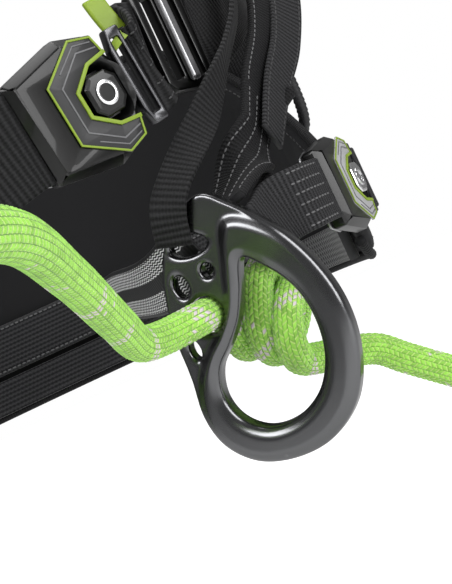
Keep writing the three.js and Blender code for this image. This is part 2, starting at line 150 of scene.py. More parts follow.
def add_lights():
    """Large soft lights, each turned to its target."""
    for name, at, target, size, power in LIGHTS:
        data = bpy.data.lights.new(name, "AREA")
        data.shape = "RECTANGLE"
        data.size, data.size_y = size
        data.energy = power
        light = bpy.data.objects.new(name, data)
        bpy.context.scene.collection.objects.link(light)
        light.location = at
        light.rotation_euler = (Vector(target) - Vector(at)).to_track_quat("-Z", "Y").to_euler()


def add_world():
    """White where the camera sees it, and a dimmer white as a light."""
    world = bpy.data.worlds.new("studio")
    bpy.context.scene.world = world
    world.use_nodes = True
    tree = world.node_tree
    tree.nodes.clear()
    path = tree.nodes.new("ShaderNodeLightPath")
    mix = tree.nodes.new("ShaderNodeMixShader")
    out = tree.nodes.new("ShaderNodeOutputWorld")
    tree.links.new(path.outputs["Is Camera Ray"], mix.inputs[0])
    for strength, socket in ((WORLD_LIGHT, mix.inputs[1]), (WORLD_SEEN, mix.inputs[2])):
        white = tree.nodes.new("ShaderNodeBackground")
        white.inputs["Color"].default_value = (1, 1, 1, 1)
        white.inputs["Strength"].default_value = strength
        tree.links.new(white.outputs[0], socket)
    tree.links.new(mix.outputs[0], out.inputs[0])


# ---- meshes ----
def make_mesh(points, faces, uvs=None):
    """A mesh from millimetre points; uvs holds one pair for each corner of each face."""
    mesh = bpy.data.meshes.new("piece")
    mesh.from_pydata([tuple(c * MM for c in p) for p in points], [], faces)
    if uvs:
        layer = mesh.uv_layers.new(name="weave")
        layer.data.foreach_set("uv", np.asarray(uvs, np.float32).ravel())
    mesh.polygons.foreach_set("use_smooth", [True] * len(mesh.polygons))
    mesh.update()
    return mesh


def mirrored(mesh):
    """The same mesh for the other side of the wearer."""
    copy = mesh.copy()
    copy.transform(Matrix.Scale(-1, 4, (1, 0, 0)))
    copy.flip_normals()
    return copy


def joined(meshes):
    """One mesh from several."""
    objs = []
    for mesh in meshes:
        obj = bpy.data.objects.new("part", mesh)
        bpy.context.scene.collection.objects.link(obj)
        objs.append(obj)
    with bpy.context.temp_override(active_object=objs[0], selected_editable_objects=objs):
        bpy.ops.object.join()
    mesh = objs[0].data
    bpy.data.objects.remove(objs[0])
    return mesh


def add(name, mesh, body, material, slot, replaces=(), blend=None):
    """A piece that rides on a body or, where blend gives two bodies and two points, stays where it is made and
    rides on neither.
    """
    obj = bpy.data.objects.new(name, mesh)
    bpy.context.scene.collection.objects.link(obj)
    mesh.name = name
    mesh.materials.clear()
    mesh.materials.append(material)
    if blend:
        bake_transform(obj)
    else:
        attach(obj, body)
    if replaces:
        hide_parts(*replaces)
    return obj


def add_pair(name, mesh, body, material, slot, replaces=(), blend=None):
    """The left piece from the mesh and the right one turned over; {side} in a body name is filled in."""
    made = []
    for side in SIDES:
        own = mesh if side == "left" else mirrored(mesh)
        turn = None
        if blend:
            first, second, start, end = blend
            turn = (first, second.format(side=side), for_side(side, start) * MM, for_side(side, end) * MM)
        nodes = [f"{side}_{node}" for node in replaces]
        made.append(add(f"{side}_{name}", own, body.format(side=side), material, slot, nodes, turn))
    return made


# ---- routes ----
SPLINE_STEPS = 40


def lengths(line):
    """How far along the line each of its points lies."""
    return np.concatenate([[0], np.cumsum([(b - a).length for a, b in zip(line, line[1:])])])


def spline_piece(p0, p1, p2, p3, count):
    """Points from p1 to just before p2 on the centripetal spline through all four."""
    d0, d1, d2 = (math.sqrt((b - a).length) for a, b in ((p0, p1), (p1, p2), (p2, p3)))
    t1 = ((p1 - p0) / d0 - (p2 - p0) / (d0 + d1) + (p2 - p1) / d1) * d1
    t2 = ((p2 - p1) / d1 - (p3 - p1) / (d1 + d2) + (p3 - p2) / d2) * d1
    square = p1 * -3 + p2 * 3 - t1 * 2 - t2
    cube = p1 * 2 - p2 * 2 + t1 + t2
    return [p1 + t1 * t + square * t**2 + cube * t**3 for t in (i / count for i in range(count))]


def route(points, step):
    """Points about a step apart on the spline through the given ones, and how far along each one is."""
    pts = [Vector(p) for p in points]
    pts = [pts[0] * 2 - pts[1], *pts, pts[-1] * 2 - pts[-2]]
    fours = zip(pts, pts[1:], pts[2:], pts[3:])
    fine = [p for four in fours for p in spline_piece(*four, SPLINE_STEPS)]
    fine.append(pts[-2])
    far = lengths(fine)
    at = np.linspace(0, far[-1], max(2, round(far[-1] / step) + 1))
    axes = [np.interp(at, far, [p[i] for p in fine]) for i in range(3)]
    return [Vector(p) for p in zip(*axes)], at


def tangents(line):
    """The direction of the line at each of its points."""
    ends = [line[0]] + line[:-1], line[1:] + [line[-1]]
    return [(b - a).normalized() for a, b in zip(*ends)]


def frames(line, first):
    """A side and a face direction at each point, carried along without twist from the first side."""
    side = first
    result = []
    for t in tangents(line):
        side = (side - t * side.dot(t)).normalized()
        result.append((side, t.cross(side)))
    return result


def skin_faces(rows, columns):
    """The faces of a closed skin over rows of points, with flat ends."""
    faces = []
    for i in range(rows - 1):
        for k in range(columns):
            a, b = i * columns + k, i * columns + (k + 1) % columns
            faces.append((a, b, b + columns, a + columns))
    last = (rows - 1) * columns
    return faces + [tuple(reversed(range(columns))), tuple(range(last, last + columns))]


def skin_mesh(rings, edges=(), far=()):
    """A closed skin through rings of points.

    For a woven piece, edges holds each column's two values across, and far each ring's value along.
    """
    uvs = []
    for low, high in zip(far, far[1:]):
        for left, right in edges:
            uvs += [(left, low), (right, low), (right, high), (left, high)]
    if uvs:
        uvs += [(0, 0)] * (2 * len(edges))
    points = [p for ring in rings for p in ring]
    return make_mesh(points, skin_faces(len(rings), len(rings[0])), uvs)


def tube_mesh(line, radius, sides, first=UP, far=None):
    """A round tube along the line; radius is one number, or one for each point."""
    radii = radius if hasattr(radius, "__len__") else [radius] * len(line)
    turns = [2 * math.pi * k / sides for k in range(sides)]
    rings = []
    for p, (side, face), r in zip(line, frames(line, first), radii):
        rings.append([p + side * (r * math.cos(a)) + face * (r * math.sin(a)) for a in turns])
    edges = [(k, k + 1) for k in range(sides)]
    return skin_mesh(rings, edges, lengths(line) if far is None else far)


STRAP_EDGE = ((-1, -0.35), (-0.985, -0.8), (-0.95, -1))
STRAP_INNER = 9


def strap_profile():
    """(across, through) of a strap's section, both from -1 to 1, with round edges."""
    inner = [(-0.95 + 1.9 * i / STRAP_INNER, -1) for i in range(1, STRAP_INNER)]
    low = [*STRAP_EDGE, *inner, *[(-x, z) for x, z in reversed(STRAP_EDGE)]]
    return low + [(x, -z) for x, z in reversed(low)]


def strap_frames(points, sides, step):
    """(point, along, across) down a strap, and distances; across turns from sides[0] to sides[-1]."""
    line, far = route(points, step)
    result = []
    for i, (p, t) in enumerate(zip(line, tangents(line))):
        place = i / (len(line) - 1) * (len(sides) - 1)
        k = min(int(place), len(sides) - 2)
        side = Vector(sides[k]).lerp(Vector(sides[k + 1]), place - k)
        result.append((p, t, (side - t * side.dot(t)).normalized()))
    return result, far


def strap_mesh(points, width, thick, sides=(UP, UP), step=2.0):
    """Webbing along a route, with its weave in millimetres."""
    stations, far = strap_frames(points, sides, step)
    profile = [(s * width / 2, f * thick / 2) for s, f in strap_profile()]
    rings = [[p + side * s + t.cross(side) * f for s, f in profile] for p, t, side in stations]
    across = [s for s, _ in profile]
    return skin_mesh(rings, list(zip(across, across[1:] + across[:1])), far)


def strap_seams(points, width, thick, sides, span, across, face_sign, step=2.0):
    """Seam runs on one face of a strap, for stitches_mesh; across holds their places from -1 to 1."""
    stations, far = strap_frames(points, sides, step)
    runs = [[] for _ in across]
    for (p, t, side), s in zip(stations, far):
        if not span[0] <= s / far[-1] <= span[1]:
            continue
        face = t.cross(side) * face_sign
        for run, place in zip(runs, across):
            run.append((p + side * (place * width / 2) + face * (thick / 2), face))
    return [run for run in runs if len(run) > 1]


STITCH_SIDES = 6
STITCH_PROFILE = ((-0.5, 0.35), (-0.3, 1), (0.3, 1), (0.5, 0.35))
STITCH_FACES = skin_faces(len(STITCH_PROFILE), STITCH_SIDES)
STITCH_FLAT = 1.25


def stitch_points(at, t, side, out, length, radius):
    """One stitch: a short rounded bar, a little wider than it is tall."""
    points = []
    for along, r in STITCH_PROFILE:
        for k in range(STITCH_SIDES):
            a = 2 * math.pi * k / STITCH_SIDES
            wide, tall = math.cos(a) * r * radius * STITCH_FLAT, math.sin(a) * r * radius
            points.append(at + t * (along * length) + side * wide + out * tall)
    return points


def stitches_mesh(runs, pitch, length=2.2, radius=0.32):
    """Rows of raised stitches. Each run is a list of (point, outward) along a seam."""
    points, faces = [], []
    for run in runs:
        line = [p for p, _ in run]
        far = lengths(line)
        for i in range(int(far[-1] / pitch)):
            s = (i + 0.5) * pitch
            j = min(int(np.searchsorted(far, s)), len(line) - 1)
            share = (s - far[j - 1]) / max(1e-6, far[j] - far[j - 1])
            t = (line[j] - line[j - 1]).normalized()
            out = run[j][1].normalized()
            side = t.cross(out).normalized()
            faces += [tuple(len(points) + k for k in face) for face in STITCH_FACES]
            points += stitch_points(line[j - 1].lerp(line[j], share), t, side, out, length, radius)
    return make_mesh(points, faces)


# ---- materials ----
class Value:
    """A number that varies over a surface; arithmetic with it adds maths nodes to its shader."""

    def __init__(self, shader, socket):
        self.shader = shader
        self.socket = socket

    def then(self, operation, *others):
        made = self.shader.node("ShaderNodeMath", operation=operation)
        for value, socket in zip((self, *others), made.inputs):
            self.shader.link(value, socket)
        return Value(self.shader, made.outputs[0])

    def __add__(self, other):
        return self.then("ADD", other)

    def __sub__(self, other):
        return self.then("SUBTRACT", other)

    def __rsub__(self, other):
        return self.then("MULTIPLY_ADD", -1, other)

    def __mul__(self, other):
        return self.then("MULTIPLY", other)

    def __truediv__(self, other):
        return self.then("DIVIDE", other)

    def __mod__(self, other):
        return self.then("FLOORED_MODULO", other)

    def __pow__(self, other):
        return self.then("POWER", other)

    def __abs__(self):
        return self.then("ABSOLUTE")


class Shader:
    """A material made of maths on a piece's own coordinates."""

    def __init__(self, name, roughness=0.6, metallic=0.0, sheen=0.0, specular=0.5, coat=0.0):
        self.material = bpy.data.materials.new(name)
        self.material.use_nodes = True
        self.tree = self.material.node_tree
        self.base = self.tree.nodes["Principled BSDF"]
        self.base.inputs["Roughness"].default_value = roughness
        self.base.inputs["Metallic"].default_value = metallic
        self.base.inputs["Sheen Weight"].default_value = sheen
        self.base.inputs["Specular IOR Level"].default_value = specular
        self.base.inputs["Coat Weight"].default_value = coat

    def node(self, kind, **values):
        made = self.tree.nodes.new(kind)
        for key, value in values.items():
            setattr(made, key, value)
        return made

    def link(self, source, target):
        """Feeds a socket from a number, a colour, a Value or another socket."""
        if isinstance(source, (int, float)):
            target.default_value = source
        elif isinstance(source, tuple):
            target.default_value = (*source, 1)
        else:
            self.tree.links.new(source.socket if isinstance(source, Value) else source, target)

    def weave(self):
        """The across and along coordinates of webbing or rope."""
        split = self.node("ShaderNodeSeparateXYZ")
        self.link(self.node("ShaderNodeUVMap", uv_map="weave").outputs[0], split.inputs[0])
        return Value(self, split.outputs[0]), Value(self, split.outputs[1])

    def noise(self, scale, detail=3.0):
        """Noise from 0 to 1 over the object; scale is in waves for each metre."""
        made = self.node("ShaderNodeTexNoise")
        made.inputs["Scale"].default_value = scale
        made.inputs["Detail"].default_value = detail
        made.inputs["Roughness"].default_value = 0.55
        self.link(self.node("ShaderNodeTexCoord").outputs["Object"], made.inputs["Vector"])
        return Value(self, made.outputs[0])

    def wave(self, value, pitch):
        """A cosine ridge from 0 to 1 at each pitch."""
        return (value * (2 * math.pi / pitch)).then("COSINE").then("MULTIPLY_ADD", 0.5, 0.5)

    def step(self, value, low, high):
        """0 below low and 1 above high."""
        made = self.node("ShaderNodeMapRange", interpolation_type="SMOOTHSTEP")
        made.inputs["From Min"].default_value = low
        made.inputs["From Max"].default_value = high
        self.link(value, made.inputs["Value"])
        return Value(self, made.outputs[0])

    def ramp(self, value, *stops):
        """A colour that runs between two (place, colour) stops."""
        made = self.node("ShaderNodeValToRGB")
        for element, (at, color) in zip(made.color_ramp.elements, stops):
            element.position = at
            element.color = (*color, 1)
        self.link(value, made.inputs[0])
        return made.outputs[0]

    def mix(self, share, first, second):
        """The first colour where share is 0, and the second where it is 1."""
        made = self.node("ShaderNodeMix", data_type="RGBA")
        for source, socket in ((share, made.inputs[0]), (first, made.inputs[6]), (second, made.inputs[7])):
            self.link(source, socket)
        return made.outputs[2]

    def color(self, source):
        self.link(source, self.base.inputs["Base Color"])

    def rough(self, value, low, high):
        made = self.node("ShaderNodeMapRange")
        made.inputs["To Min"].default_value = low
        made.inputs["To Max"].default_value = high
        self.link(value, made.inputs["Value"])
        self.link(made.outputs[0], self.base.inputs["Roughness"])

    def bump(self, height, millimetres, strength):
        made = self.node("ShaderNodeBump")
        made.inputs["Strength"].default_value = strength
        made.inputs["Distance"].default_value = millimetres * MM
        self.link(height, made.inputs["Height"])
        self.link(made.outputs[0], self.base.inputs["Normal"])


def shaded(color, share):
    """The colour made darker or lighter."""
    return tuple(c * share for c in color)


ROPE_COLUMNS = 20
ROPE_PITCH = 2.3
ROPE_SLOPE = 0.24
LIME_FLOAT = (0.38, 0.80, 0.09)
# a dark green for the yarn stripes, also used as painted shade in the gaps between braid columns
LIME_DARK_AND_GAP_SHADE = (0.055, 0.24, 0.012)
LIME_YELLOW = (0.62, 0.86, 0.24)
FLECK = (0.62, 0.54, 0.58)
BLACK_DEEP = (0.0012, 0.0012, 0.0014)


def rope_material():
    """Braid floats in columns that lean left and right by turns, with pale strands among them, and painted
    shade in the gaps between the columns.
    """
    s = Shader("rope_braid", roughness=0.62, sheen=0.25, specular=0.35)
    column, along = s.weave()
    number = column.then("FLOOR")
    inside = column.then("FRACT") - 0.5
    odd = number % 2
    lean = odd.then("MULTIPLY_ADD", -2, 1)
    place = along + odd * 0.5 + inside * lean * (ROPE_SLOPE * 2)
    strand = place.then("FLOOR")
    within = place.then("FRACT") - 0.5
    height = (1 - abs(within * 2) ** 3) * (1 - abs(inside * 2) ** 4)
    yarn = s.wave(inside + within * 0.2, 0.17)
    cell = s.node("ShaderNodeCombineXYZ")
    s.link(number, cell.inputs[0])
    s.link(strand, cell.inputs[1])
    own = s.node("ShaderNodeTexWhiteNoise", noise_dimensions="2D")
    s.link(cell.outputs[0], own.inputs["Vector"])
    green = s.mix(own.outputs["Value"], LIME_FLOAT, shaded(LIME_FLOAT, 0.66))
    green = s.mix(yarn * 0.25, green, LIME_DARK_AND_GAP_SHADE)
    spiral = ((strand - number * 0.5) % 14).then("LESS_THAN", 1.6)
    other = ((strand + number * 0.5) % 17).then("LESS_THAN", 1.2) * odd
    pale = spiral.then("MAXIMUM", other) * s.step(s.noise(60, 1.0), 0.50, 0.53)
    middle = 1 - s.step(abs(inside), 0.30, 0.42)
    short = 1 - s.step(abs(within), 0.22, 0.36)
    cover = s.mix(pale * (middle * short), green, FLECK)
    edged = s.mix(s.step(abs(within), 0.33, 0.45) * 0.85, cover, LIME_YELLOW)
    # painted shade: the gaps between the braid's columns are coloured dark green
    s.color(s.mix(s.step(abs(inside), 0.40, 0.5) * 0.75, edged, LIME_DARK_AND_GAP_SHADE))
    s.bump(yarn * 0.12 + height, 0.55, 0.9)
    return s.material


def webbing_material(name, dark, light, rib=1.5, warp=1.1, depth=0.35, rib_strength=0.75):
    """Woven webbing: ribs across it, fine warp threads along it, with painted shade darker in the grooves."""
    s = Shader(name, roughness=0.72, sheen=0.02, specular=0.2)
    across, along = s.weave()
    ribs = s.wave(along + s.noise(900, 1.0) * 0.35, rib)
    half = (across / warp).then("FLOOR") % 2 * (rib / 2)
    crossing = s.wave(along + half, rib)
    height = s.wave(across, warp) * 0.25 + (ribs * rib_strength + crossing * (1 - rib_strength))
    # painted shade: the colour follows the weave's height, darker in the grooves and lighter on the rib tops,
    # times a random tone
    rib_shade_and_tone = height * (s.noise(1500, 2.0) * 0.9 + 0.45)
    s.color(s.ramp(rib_shade_and_tone, (0.15, dark), (0.95, light)))
    s.bump(height, depth, 0.8)
    return s.material


REFLECTIVE_CENTRE = 2.9
REFLECTIVE_EDGE = 10.9
REFLECTIVE_ROW = 1.25
REFLECTIVE_WAVE = 2.7


def reflective_material():
    """Black webbing with rows of pale waves each side of a ribbed centre line."""
    s = Shader("reflective_weave", roughness=0.55, specular=0.5)
    across, along = s.weave()
    far = abs(across)
    sway = (along * (2 * math.pi / REFLECTIVE_WAVE)).then("SINE") * 0.30
    row = ((far + sway - REFLECTIVE_CENTRE) / REFLECTIVE_ROW).then("FRACT")
    line = 1 - s.step(abs(row - 0.5), 0.15, 0.27)
    inner = s.step(far, REFLECTIVE_CENTRE - 0.1, REFLECTIVE_CENTRE + 0.25)
    outer = 1 - s.step(far, REFLECTIVE_EDGE - 0.2, REFLECTIVE_EDGE + 0.1)
    wavy = line * (inner * outer)
    ribs = s.wave(along, 1.6)
    bright = s.mix(s.noise(1200, 2.0), (0.62, 0.62, 0.63), (0.88, 0.88, 0.89))
    # painted shade: the black is coloured lighter on the rib tops and darker between them
    black = s.mix(ribs * 0.6, (0.004, 0.004, 0.005), (0.022, 0.022, 0.023))
    s.color(s.mix(wavy, black, bright))
    s.bump(wavy + ribs * 0.35, 0.35, 0.8)
    return s.material


def anodised_material(name, dark, light, roughness):
    """Satin anodised alloy: slow changes of tone, fine pores, and its sharp edges coloured a little lighter in
    patches.
    """
    s = Shader(name, metallic=1.0, specular=0.5, coat=0.25)
    tone = s.mix(s.noise(22, 2.0), dark, light)
    edge = s.step(s.node("ShaderNodeNewGeometry").outputs["Pointiness"], 0.53, 0.62)
    # sharp outer edges coloured a little lighter, in patches
    lighter_edges = edge * s.step(s.noise(350), 0.38, 0.7)
    s.color(s.mix(lighter_edges * 0.12, tone, (0.4, 0.4, 0.41)))
    s.rough(s.noise(60), *roughness)
    s.bump(s.noise(1600, 2.0), 0.006, 0.2)
    return s.material


def steel_material(name, tone, roughness):
    """Brushed steel in slightly changing tones."""
    s = Shader(name, metallic=1.0)
    brushed = s.noise(500, 4.0)
    s.color(s.mix(s.noise(70), tone, shaded(tone, 0.8)))
    s.rough(brushed, *roughness)
    s.bump(brushed, 0.015, 0.4)
    return s.material


def moulded_material(name, color, roughness=(0.4, 0.6), grain=900, depth=0.05):
    """Finely grained plastic or thread."""
    s = Shader(name, specular=0.4)
    s.color(s.mix(s.noise(90), color, shaded(color, 1.35)))
    s.rough(s.noise(grain, 2.0), *roughness)
    s.bump(s.noise(grain), depth, 0.5)
    return s.material


def lining_material():
    """Smooth matt lining cloth with a tight plain weave and soft creases."""
    s = Shader("pad_lining", roughness=0.78, sheen=0.05, specular=0.18)
    tone = s.mix(s.noise(14), (0.004, 0.004, 0.0045), (0.008, 0.008, 0.009))
    s.color(s.mix(s.noise(1800, 2.0) * 0.5, tone, (0.013, 0.013, 0.014)))
    s.bump(s.noise(1800, 2.0) * 0.12 + s.noise(28, 2.0), 0.8, 0.5)
    return s.material


KNIT_CELL = 2.6


def knit_material():
    """Open spacer knit: rows of ribs with cells between, coloured darker down in the cells as painted shade.
    """
    s = Shader("spacer_knit", roughness=0.85, sheen=0.3, specular=0.2)
    across, along = s.weave()
    rows = s.wave(across, KNIT_CELL)
    cells = s.wave(along + (across / KNIT_CELL).then("FLOOR") * (KNIT_CELL / 2), KNIT_CELL)
    height = rows * 0.7 + cells * 0.3
    # painted shade: the colour follows the knit's height, dark in the low cells
    s.color(s.ramp(height, (0.2, (0.003, 0.003, 0.004)), (0.9, (0.028, 0.028, 0.030))))
    s.bump(height, 0.8, 0.9)
    return s.material


ROPE = rope_material()
WEBBING = webbing_material("black_webbing_weave", BLACK_DEEP, (0.010, 0.010, 0.011))
RIBBED = webbing_material("ribbed_webbing_weave", BLACK_DEEP, (0.016, 0.016, 0.017), 2.6, 1.3, 0.6, 0.9)
STITCHED = webbing_material("grey_webbing_weave", (0.002, 0.002, 0.0024), (0.030, 0.030, 0.032), 2.0, 0.9)
REFLECTIVE = reflective_material()
FORGED = anodised_material("forged_anodised", (0.100, 0.101, 0.105), (0.120, 0.121, 0.125), (0.20, 0.27))
SHELL = anodised_material("shell_anodised", (0.020, 0.020, 0.020), (0.030, 0.030, 0.030), (0.28, 0.4))
DARK_STEEL = steel_material("dark_steel", (0.10, 0.10, 0.105), (0.22, 0.36))
STEEL = steel_material("bright_steel", (0.74, 0.74, 0.75), (0.14, 0.3))
GREY_METAL = steel_material("grey_metal", (0.36, 0.36, 0.37), (0.3, 0.48))
LINING = lining_material()
KNIT = knit_material()
PLASTIC = moulded_material("black_moulding", (0.010, 0.010, 0.011))
LIME = moulded_material("lime_moulding", (0.17, 0.25, 0.015), (0.4, 0.55))
PANEL = moulded_material("dark_panel", (0.014, 0.014, 0.015), (0.35, 0.5))
PALE_PANEL = moulded_material("pale_panel", (0.30, 0.30, 0.31), (0.35, 0.5))
THREAD = moulded_material("black_thread", (0.03, 0.03, 0.031), (0.5, 0.7), 2500, 0.03)
GREY_THREAD = moulded_material("grey_thread", (0.09, 0.09, 0.092), (0.5, 0.7), 2500, 0.03)
LINE_GREY = moulded_material("grey_line", (0.11, 0.11, 0.115), (0.4, 0.5))


# ---- solid fields: smooth forgings ----
def closed_outline(points, count=10):
    """Points along the closed spline through the given pairs."""
    pts = [Vector((x, y, 0)) for x, y in points]
    loop = [pts[-1], *pts, pts[0], pts[1]]
    fours = zip(loop, loop[1:], loop[2:], loop[3:])
    return [(p.x, p.y) for four in fours for p in spline_piece(*four, count)]


def outline_distance(x, y, loop):
    """Signed distance to a closed outline, negative inside."""
    best = np.full(x.shape, 1e9)
    inside = np.zeros(x.shape, bool)
    for (x1, y1), (x2, y2) in zip(loop, loop[1:] + loop[:1]):
        ex, ey = x2 - x1, y2 - y1
        t = np.clip(((x - x1) * ex + (y - y1) * ey) / (ex * ex + ey * ey), 0, 1)
        best = np.minimum(best, (x - x1 - t * ex) ** 2 + (y - y1 - t * ey) ** 2)
        if y1 != y2:
            inside ^= ((y1 > y) != (y2 > y)) & (x < ex * (y - y1) / ey + x1)
    return np.where(inside, -1, 1) * np.sqrt(best)


def oval_distance(x, y, at, half, turn):
    """Roughly the signed distance to a turned oval, negative inside."""
    dx, dy = x - at[0], y - at[1]
    c, s = math.cos(turn), math.sin(turn)
    along, over = (dx * c + dy * s) / half[0], (dy * c - dx * s) / half[1]
    return (np.hypot(along, over) - 1) * min(half)


def raised(flat, z, half, edge):
    """A field of a flat shape raised to half each way, its edges rounded."""
    a, b = flat + edge, np.abs(z) - half + edge
    outer = np.hypot(np.maximum(a, 0), np.maximum(b, 0))
    return np.minimum(np.maximum(a, b), 0) + outer - edge


def soft_min(a, b, soft):
    """Joins two fields with a rounded inner corner."""
    h = np.clip(0.5 + 0.5 * (b - a) / soft, 0, 1)
    return b * (1 - h) + a * h - soft * h * (1 - h)


def soft_max(a, b, soft):
    """Keeps what is in both fields, with a rounded outer corner."""
    return -soft_min(-a, -b, soft)


def field_mesh(field, low, step):
    """Closed surface where a 3-D field changes sign: one point in each crossed cell, joined by quads."""
    size = np.array(field.shape) - 1
    corner = {}
    for i in (0, 1):
        for j in (0, 1):
            for k in (0, 1):
                corner[i, j, k] = field[i:i + size[0], j:j + size[1], k:k + size[2]]
    negative = sum((c < 0).astype(np.int8) for c in corner.values())
    active = (negative > 0) & (negative < 8)
    total = np.zeros((*size, 3))
    count = np.zeros(size)
    for a, fa in corner.items():
        for axis in range(3):
            if a[axis]:
                continue
            b = tuple(1 if n == axis else v for n, v in enumerate(a))
            fb = corner[b]
            crossed = (fa < 0) != (fb < 0)
            share = np.where(crossed, fa / np.where(crossed, fa - fb, 1), 0)
            for n in range(3):
                total[..., n] += np.where(crossed, a[n] + (share if n == axis else 0), 0)
            count += crossed
    number = np.full(size, -1)
    number[active] = np.arange(active.sum())
    cells = np.argwhere(active)
    points = (cells + total[active] / count[active][:, None]) * step + np.array(low)
    faces = []
    for axis in range(3):
        u, v = (axis + 1) % 3, (axis + 2) % 3
        near = [slice(1, -1)] * 3
        near[axis] = slice(0, -1)
        far = list(near)
        far[axis] = slice(1, None)
        first, second = field[tuple(near)] < 0, field[tuple(far)] < 0
        for flag, flip in ((first & ~second, False), (~first & second, True)):
            spot = np.argwhere(flag)
            spot[:, u] += 1
            spot[:, v] += 1
            quad = []
            for du, dv in ((-1, -1), (0, -1), (0, 0), (-1, 0)):
                cell = spot.copy()
                cell[:, u] += du
                cell[:, v] += dv
                quad.append(number[tuple(cell.T)])
            quad = np.stack(quad, 1)
            faces += (quad[:, ::-1] if flip else quad).tolist()
    return points, faces


PLATE_OUTLINE = [
    (14, 41), (24, 33), (36, 18), (45, 0), (48.5, -18), (46, -36), (37, -53), (22, -63), (5, -65),
    (-10, -61), (-20, -51), (-23.5, -38), (-21.5, -22), (-20.5, -6), (-17.5, 9), (-12.5, 22), (-3, 34),
]
RING_OPENING = [
    (19.5, 12.5), (27, 6), (34, -5), (36.5, -18), (34, -33), (26, -45), (13, -51.5), (0, -51),
    (-9, -44), (-12, -34), (-8.5, -23), (0, -15.5), (7.5, -8), (13, 1),
]
RING_OUTSIDE = [
    (20, 28), (36, 18), (45, 0), (48.5, -18), (46, -36), (37, -53), (22, -63), (5, -65),
    (-10, -61), (-20, -51), (-22.5, -38), (-18, -24), (-9, -14.5), (-1.5, -9), (5.5, -1), (10, 10),
]
# each hole's middle, half width and height, and turn
PLATE_HOLES = (
    ((HOLE_U, HOLE_Z), (7.4, 7.4), 0),
    ((1.5, 25), (8, 4), math.radians(-8)),
    ((-8.5, 12), (3, 4.4), 0),
    ((4.5, 13.5), (2.6, 2.8), 0),
    ((-14.5, -12.5), (2.2, 3.8), 0),
)
# the flange and the ring bar: outline, half thickness and edge radius
PLATE_PARTS = ((PLATE_OUTLINE, 3.5, 1.3), (RING_OUTSIDE, 5.5, 4.4))
FLANGE_TO_RING = 2.2
HOLE_EDGE = 2.0
PLATE_STEP = 0.6
PLATE_LOW, PLATE_HIGH = (-26.0, -68.0, -7.0), (51.0, 44.0, 7.2)


def hip_plate_mesh():
    """The forged plate: a flat flange that grows into a round ring bar, with its holes."""
    axes = [np.arange(a, b, PLATE_STEP) for a, b in zip(PLATE_LOW, PLATE_HIGH)]
    x, y = np.meshgrid(axes[0], axes[1], indexing="ij")
    z = axes[2][None, None, :]
    opening = outline_distance(x, y, closed_outline(RING_OPENING))
    parts = []
    for outline, half, edge in PLATE_PARTS:
        flat = np.maximum(outline_distance(x, y, closed_outline(outline)), -opening)
        parts.append(raised(flat[..., None], z, half, edge))
    body = soft_min(*parts, FLANGE_TO_RING)
    for at, half, turn in PLATE_HOLES:
        body = soft_max(body, -oval_distance(x, y, at, half, turn)[..., None] + 0 * z, HOLE_EDGE)
    points, faces = field_mesh(body, PLATE_LOW, PLATE_STEP)
    return make_mesh([on_plate(*p) for p in points], faces)


# ---- rope ----
FLOAT_STEPS = 4
FLOAT_RISE = 0.5
ROPE_STEP = ROPE_PITCH / 4


def rope_mesh(line, far):
    """A braided tube: each float of the braid stands up from the sheath."""
    sides = ROPE_COLUMNS * FLOAT_STEPS
    spot = (np.arange(sides) + 0.5) / FLOAT_STEPS
    odd, inside = np.floor(spot) % 2, spot % 1 - 0.5
    place = far[:, None] / ROPE_PITCH + 0.5 * odd + inside * (1 - 2 * odd) * ROPE_SLOPE * 2
    within = place % 1 - 0.5
    height = (1 - np.abs(2 * within) ** 3) * (1 - np.abs(2 * inside) ** 4)
    radius = ROPE_R - 0.3 + FLOAT_RISE * height
    angle = spot * 2 * math.pi / ROPE_COLUMNS
    basis = frames(line, UP)
    middle = np.array(line)[:, None, :]
    side = np.array([b[0] for b in basis])[:, None, :]
    face = np.array([b[1] for b in basis])[:, None, :]
    points = middle + side * (radius * np.cos(angle))[..., None] + face * (radius * np.sin(angle))[..., None]
    edges = [(u, u + 1 / FLOAT_STEPS) for u in spot]
    return skin_mesh(points.tolist(), edges, far / ROPE_PITCH)


BRIDGE_ARC_Y, BRIDGE_ARC_R, BRIDGE_ARC_Z = -278, 66, -41
BRIDGE_ARC_TURN = 30


def bridge_points():
    """The bridge: out of one plate's hole, round a half circle in front, and into the other's."""
    half = [on_plate(HOLE_U + 0.4, -3, -9), on_plate(HOLE_U, -2, 0), on_plate(HOLE_U - 0.3, -2, 9),
            Vector((66, -133, -79.5)), Vector((59.5, -146, -78)), Vector((60, -173, -68)),
            Vector((63, -223, -51)), Vector((BRIDGE_ARC_R, BRIDGE_ARC_Y, BRIDGE_ARC_Z))]
    arc = []
    for turn in range(BRIDGE_ARC_TURN, 180, BRIDGE_ARC_TURN):
        round_it = turned(math.radians(turn)) * BRIDGE_ARC_R
        arc.append(Vector((round_it.x, BRIDGE_ARC_Y - round_it.y, BRIDGE_ARC_Z)))
    return half + arc + [mirror(p) for p in reversed(half)]


KNOT = Vector((7.2, -11.7, -30))
KNOT_STEP = Vector((8.2, -10.3, -2))
KNOT_LEAN = (0.42, 0.91)
KNOT_TALL = ((-0.2, 19), (0.3, 15.2), (0.6, 15.2), (1.5, 12.5))
KNOT_DEEP = 14
KNOT_FROM, KNOT_TO, KNOT_POINTS = -0.38, 1.7, 26
TAIL_FROM, TAIL_END = Vector((146, -78, -131)), Vector((189, -75, -168))
TAIL_WAY = (TAIL_END - TAIL_FROM).normalized()
TAIL_IN_CAP = 14
# how far along the tail's end cap, and how far outside the rope there
CAP_PROFILE = ((0.3, 0.35), (1, 0.8), (2, 0.9), (5, 0.9), (9, 0.9), (13, 0.9), (15, 0.5), (16, -1.2))


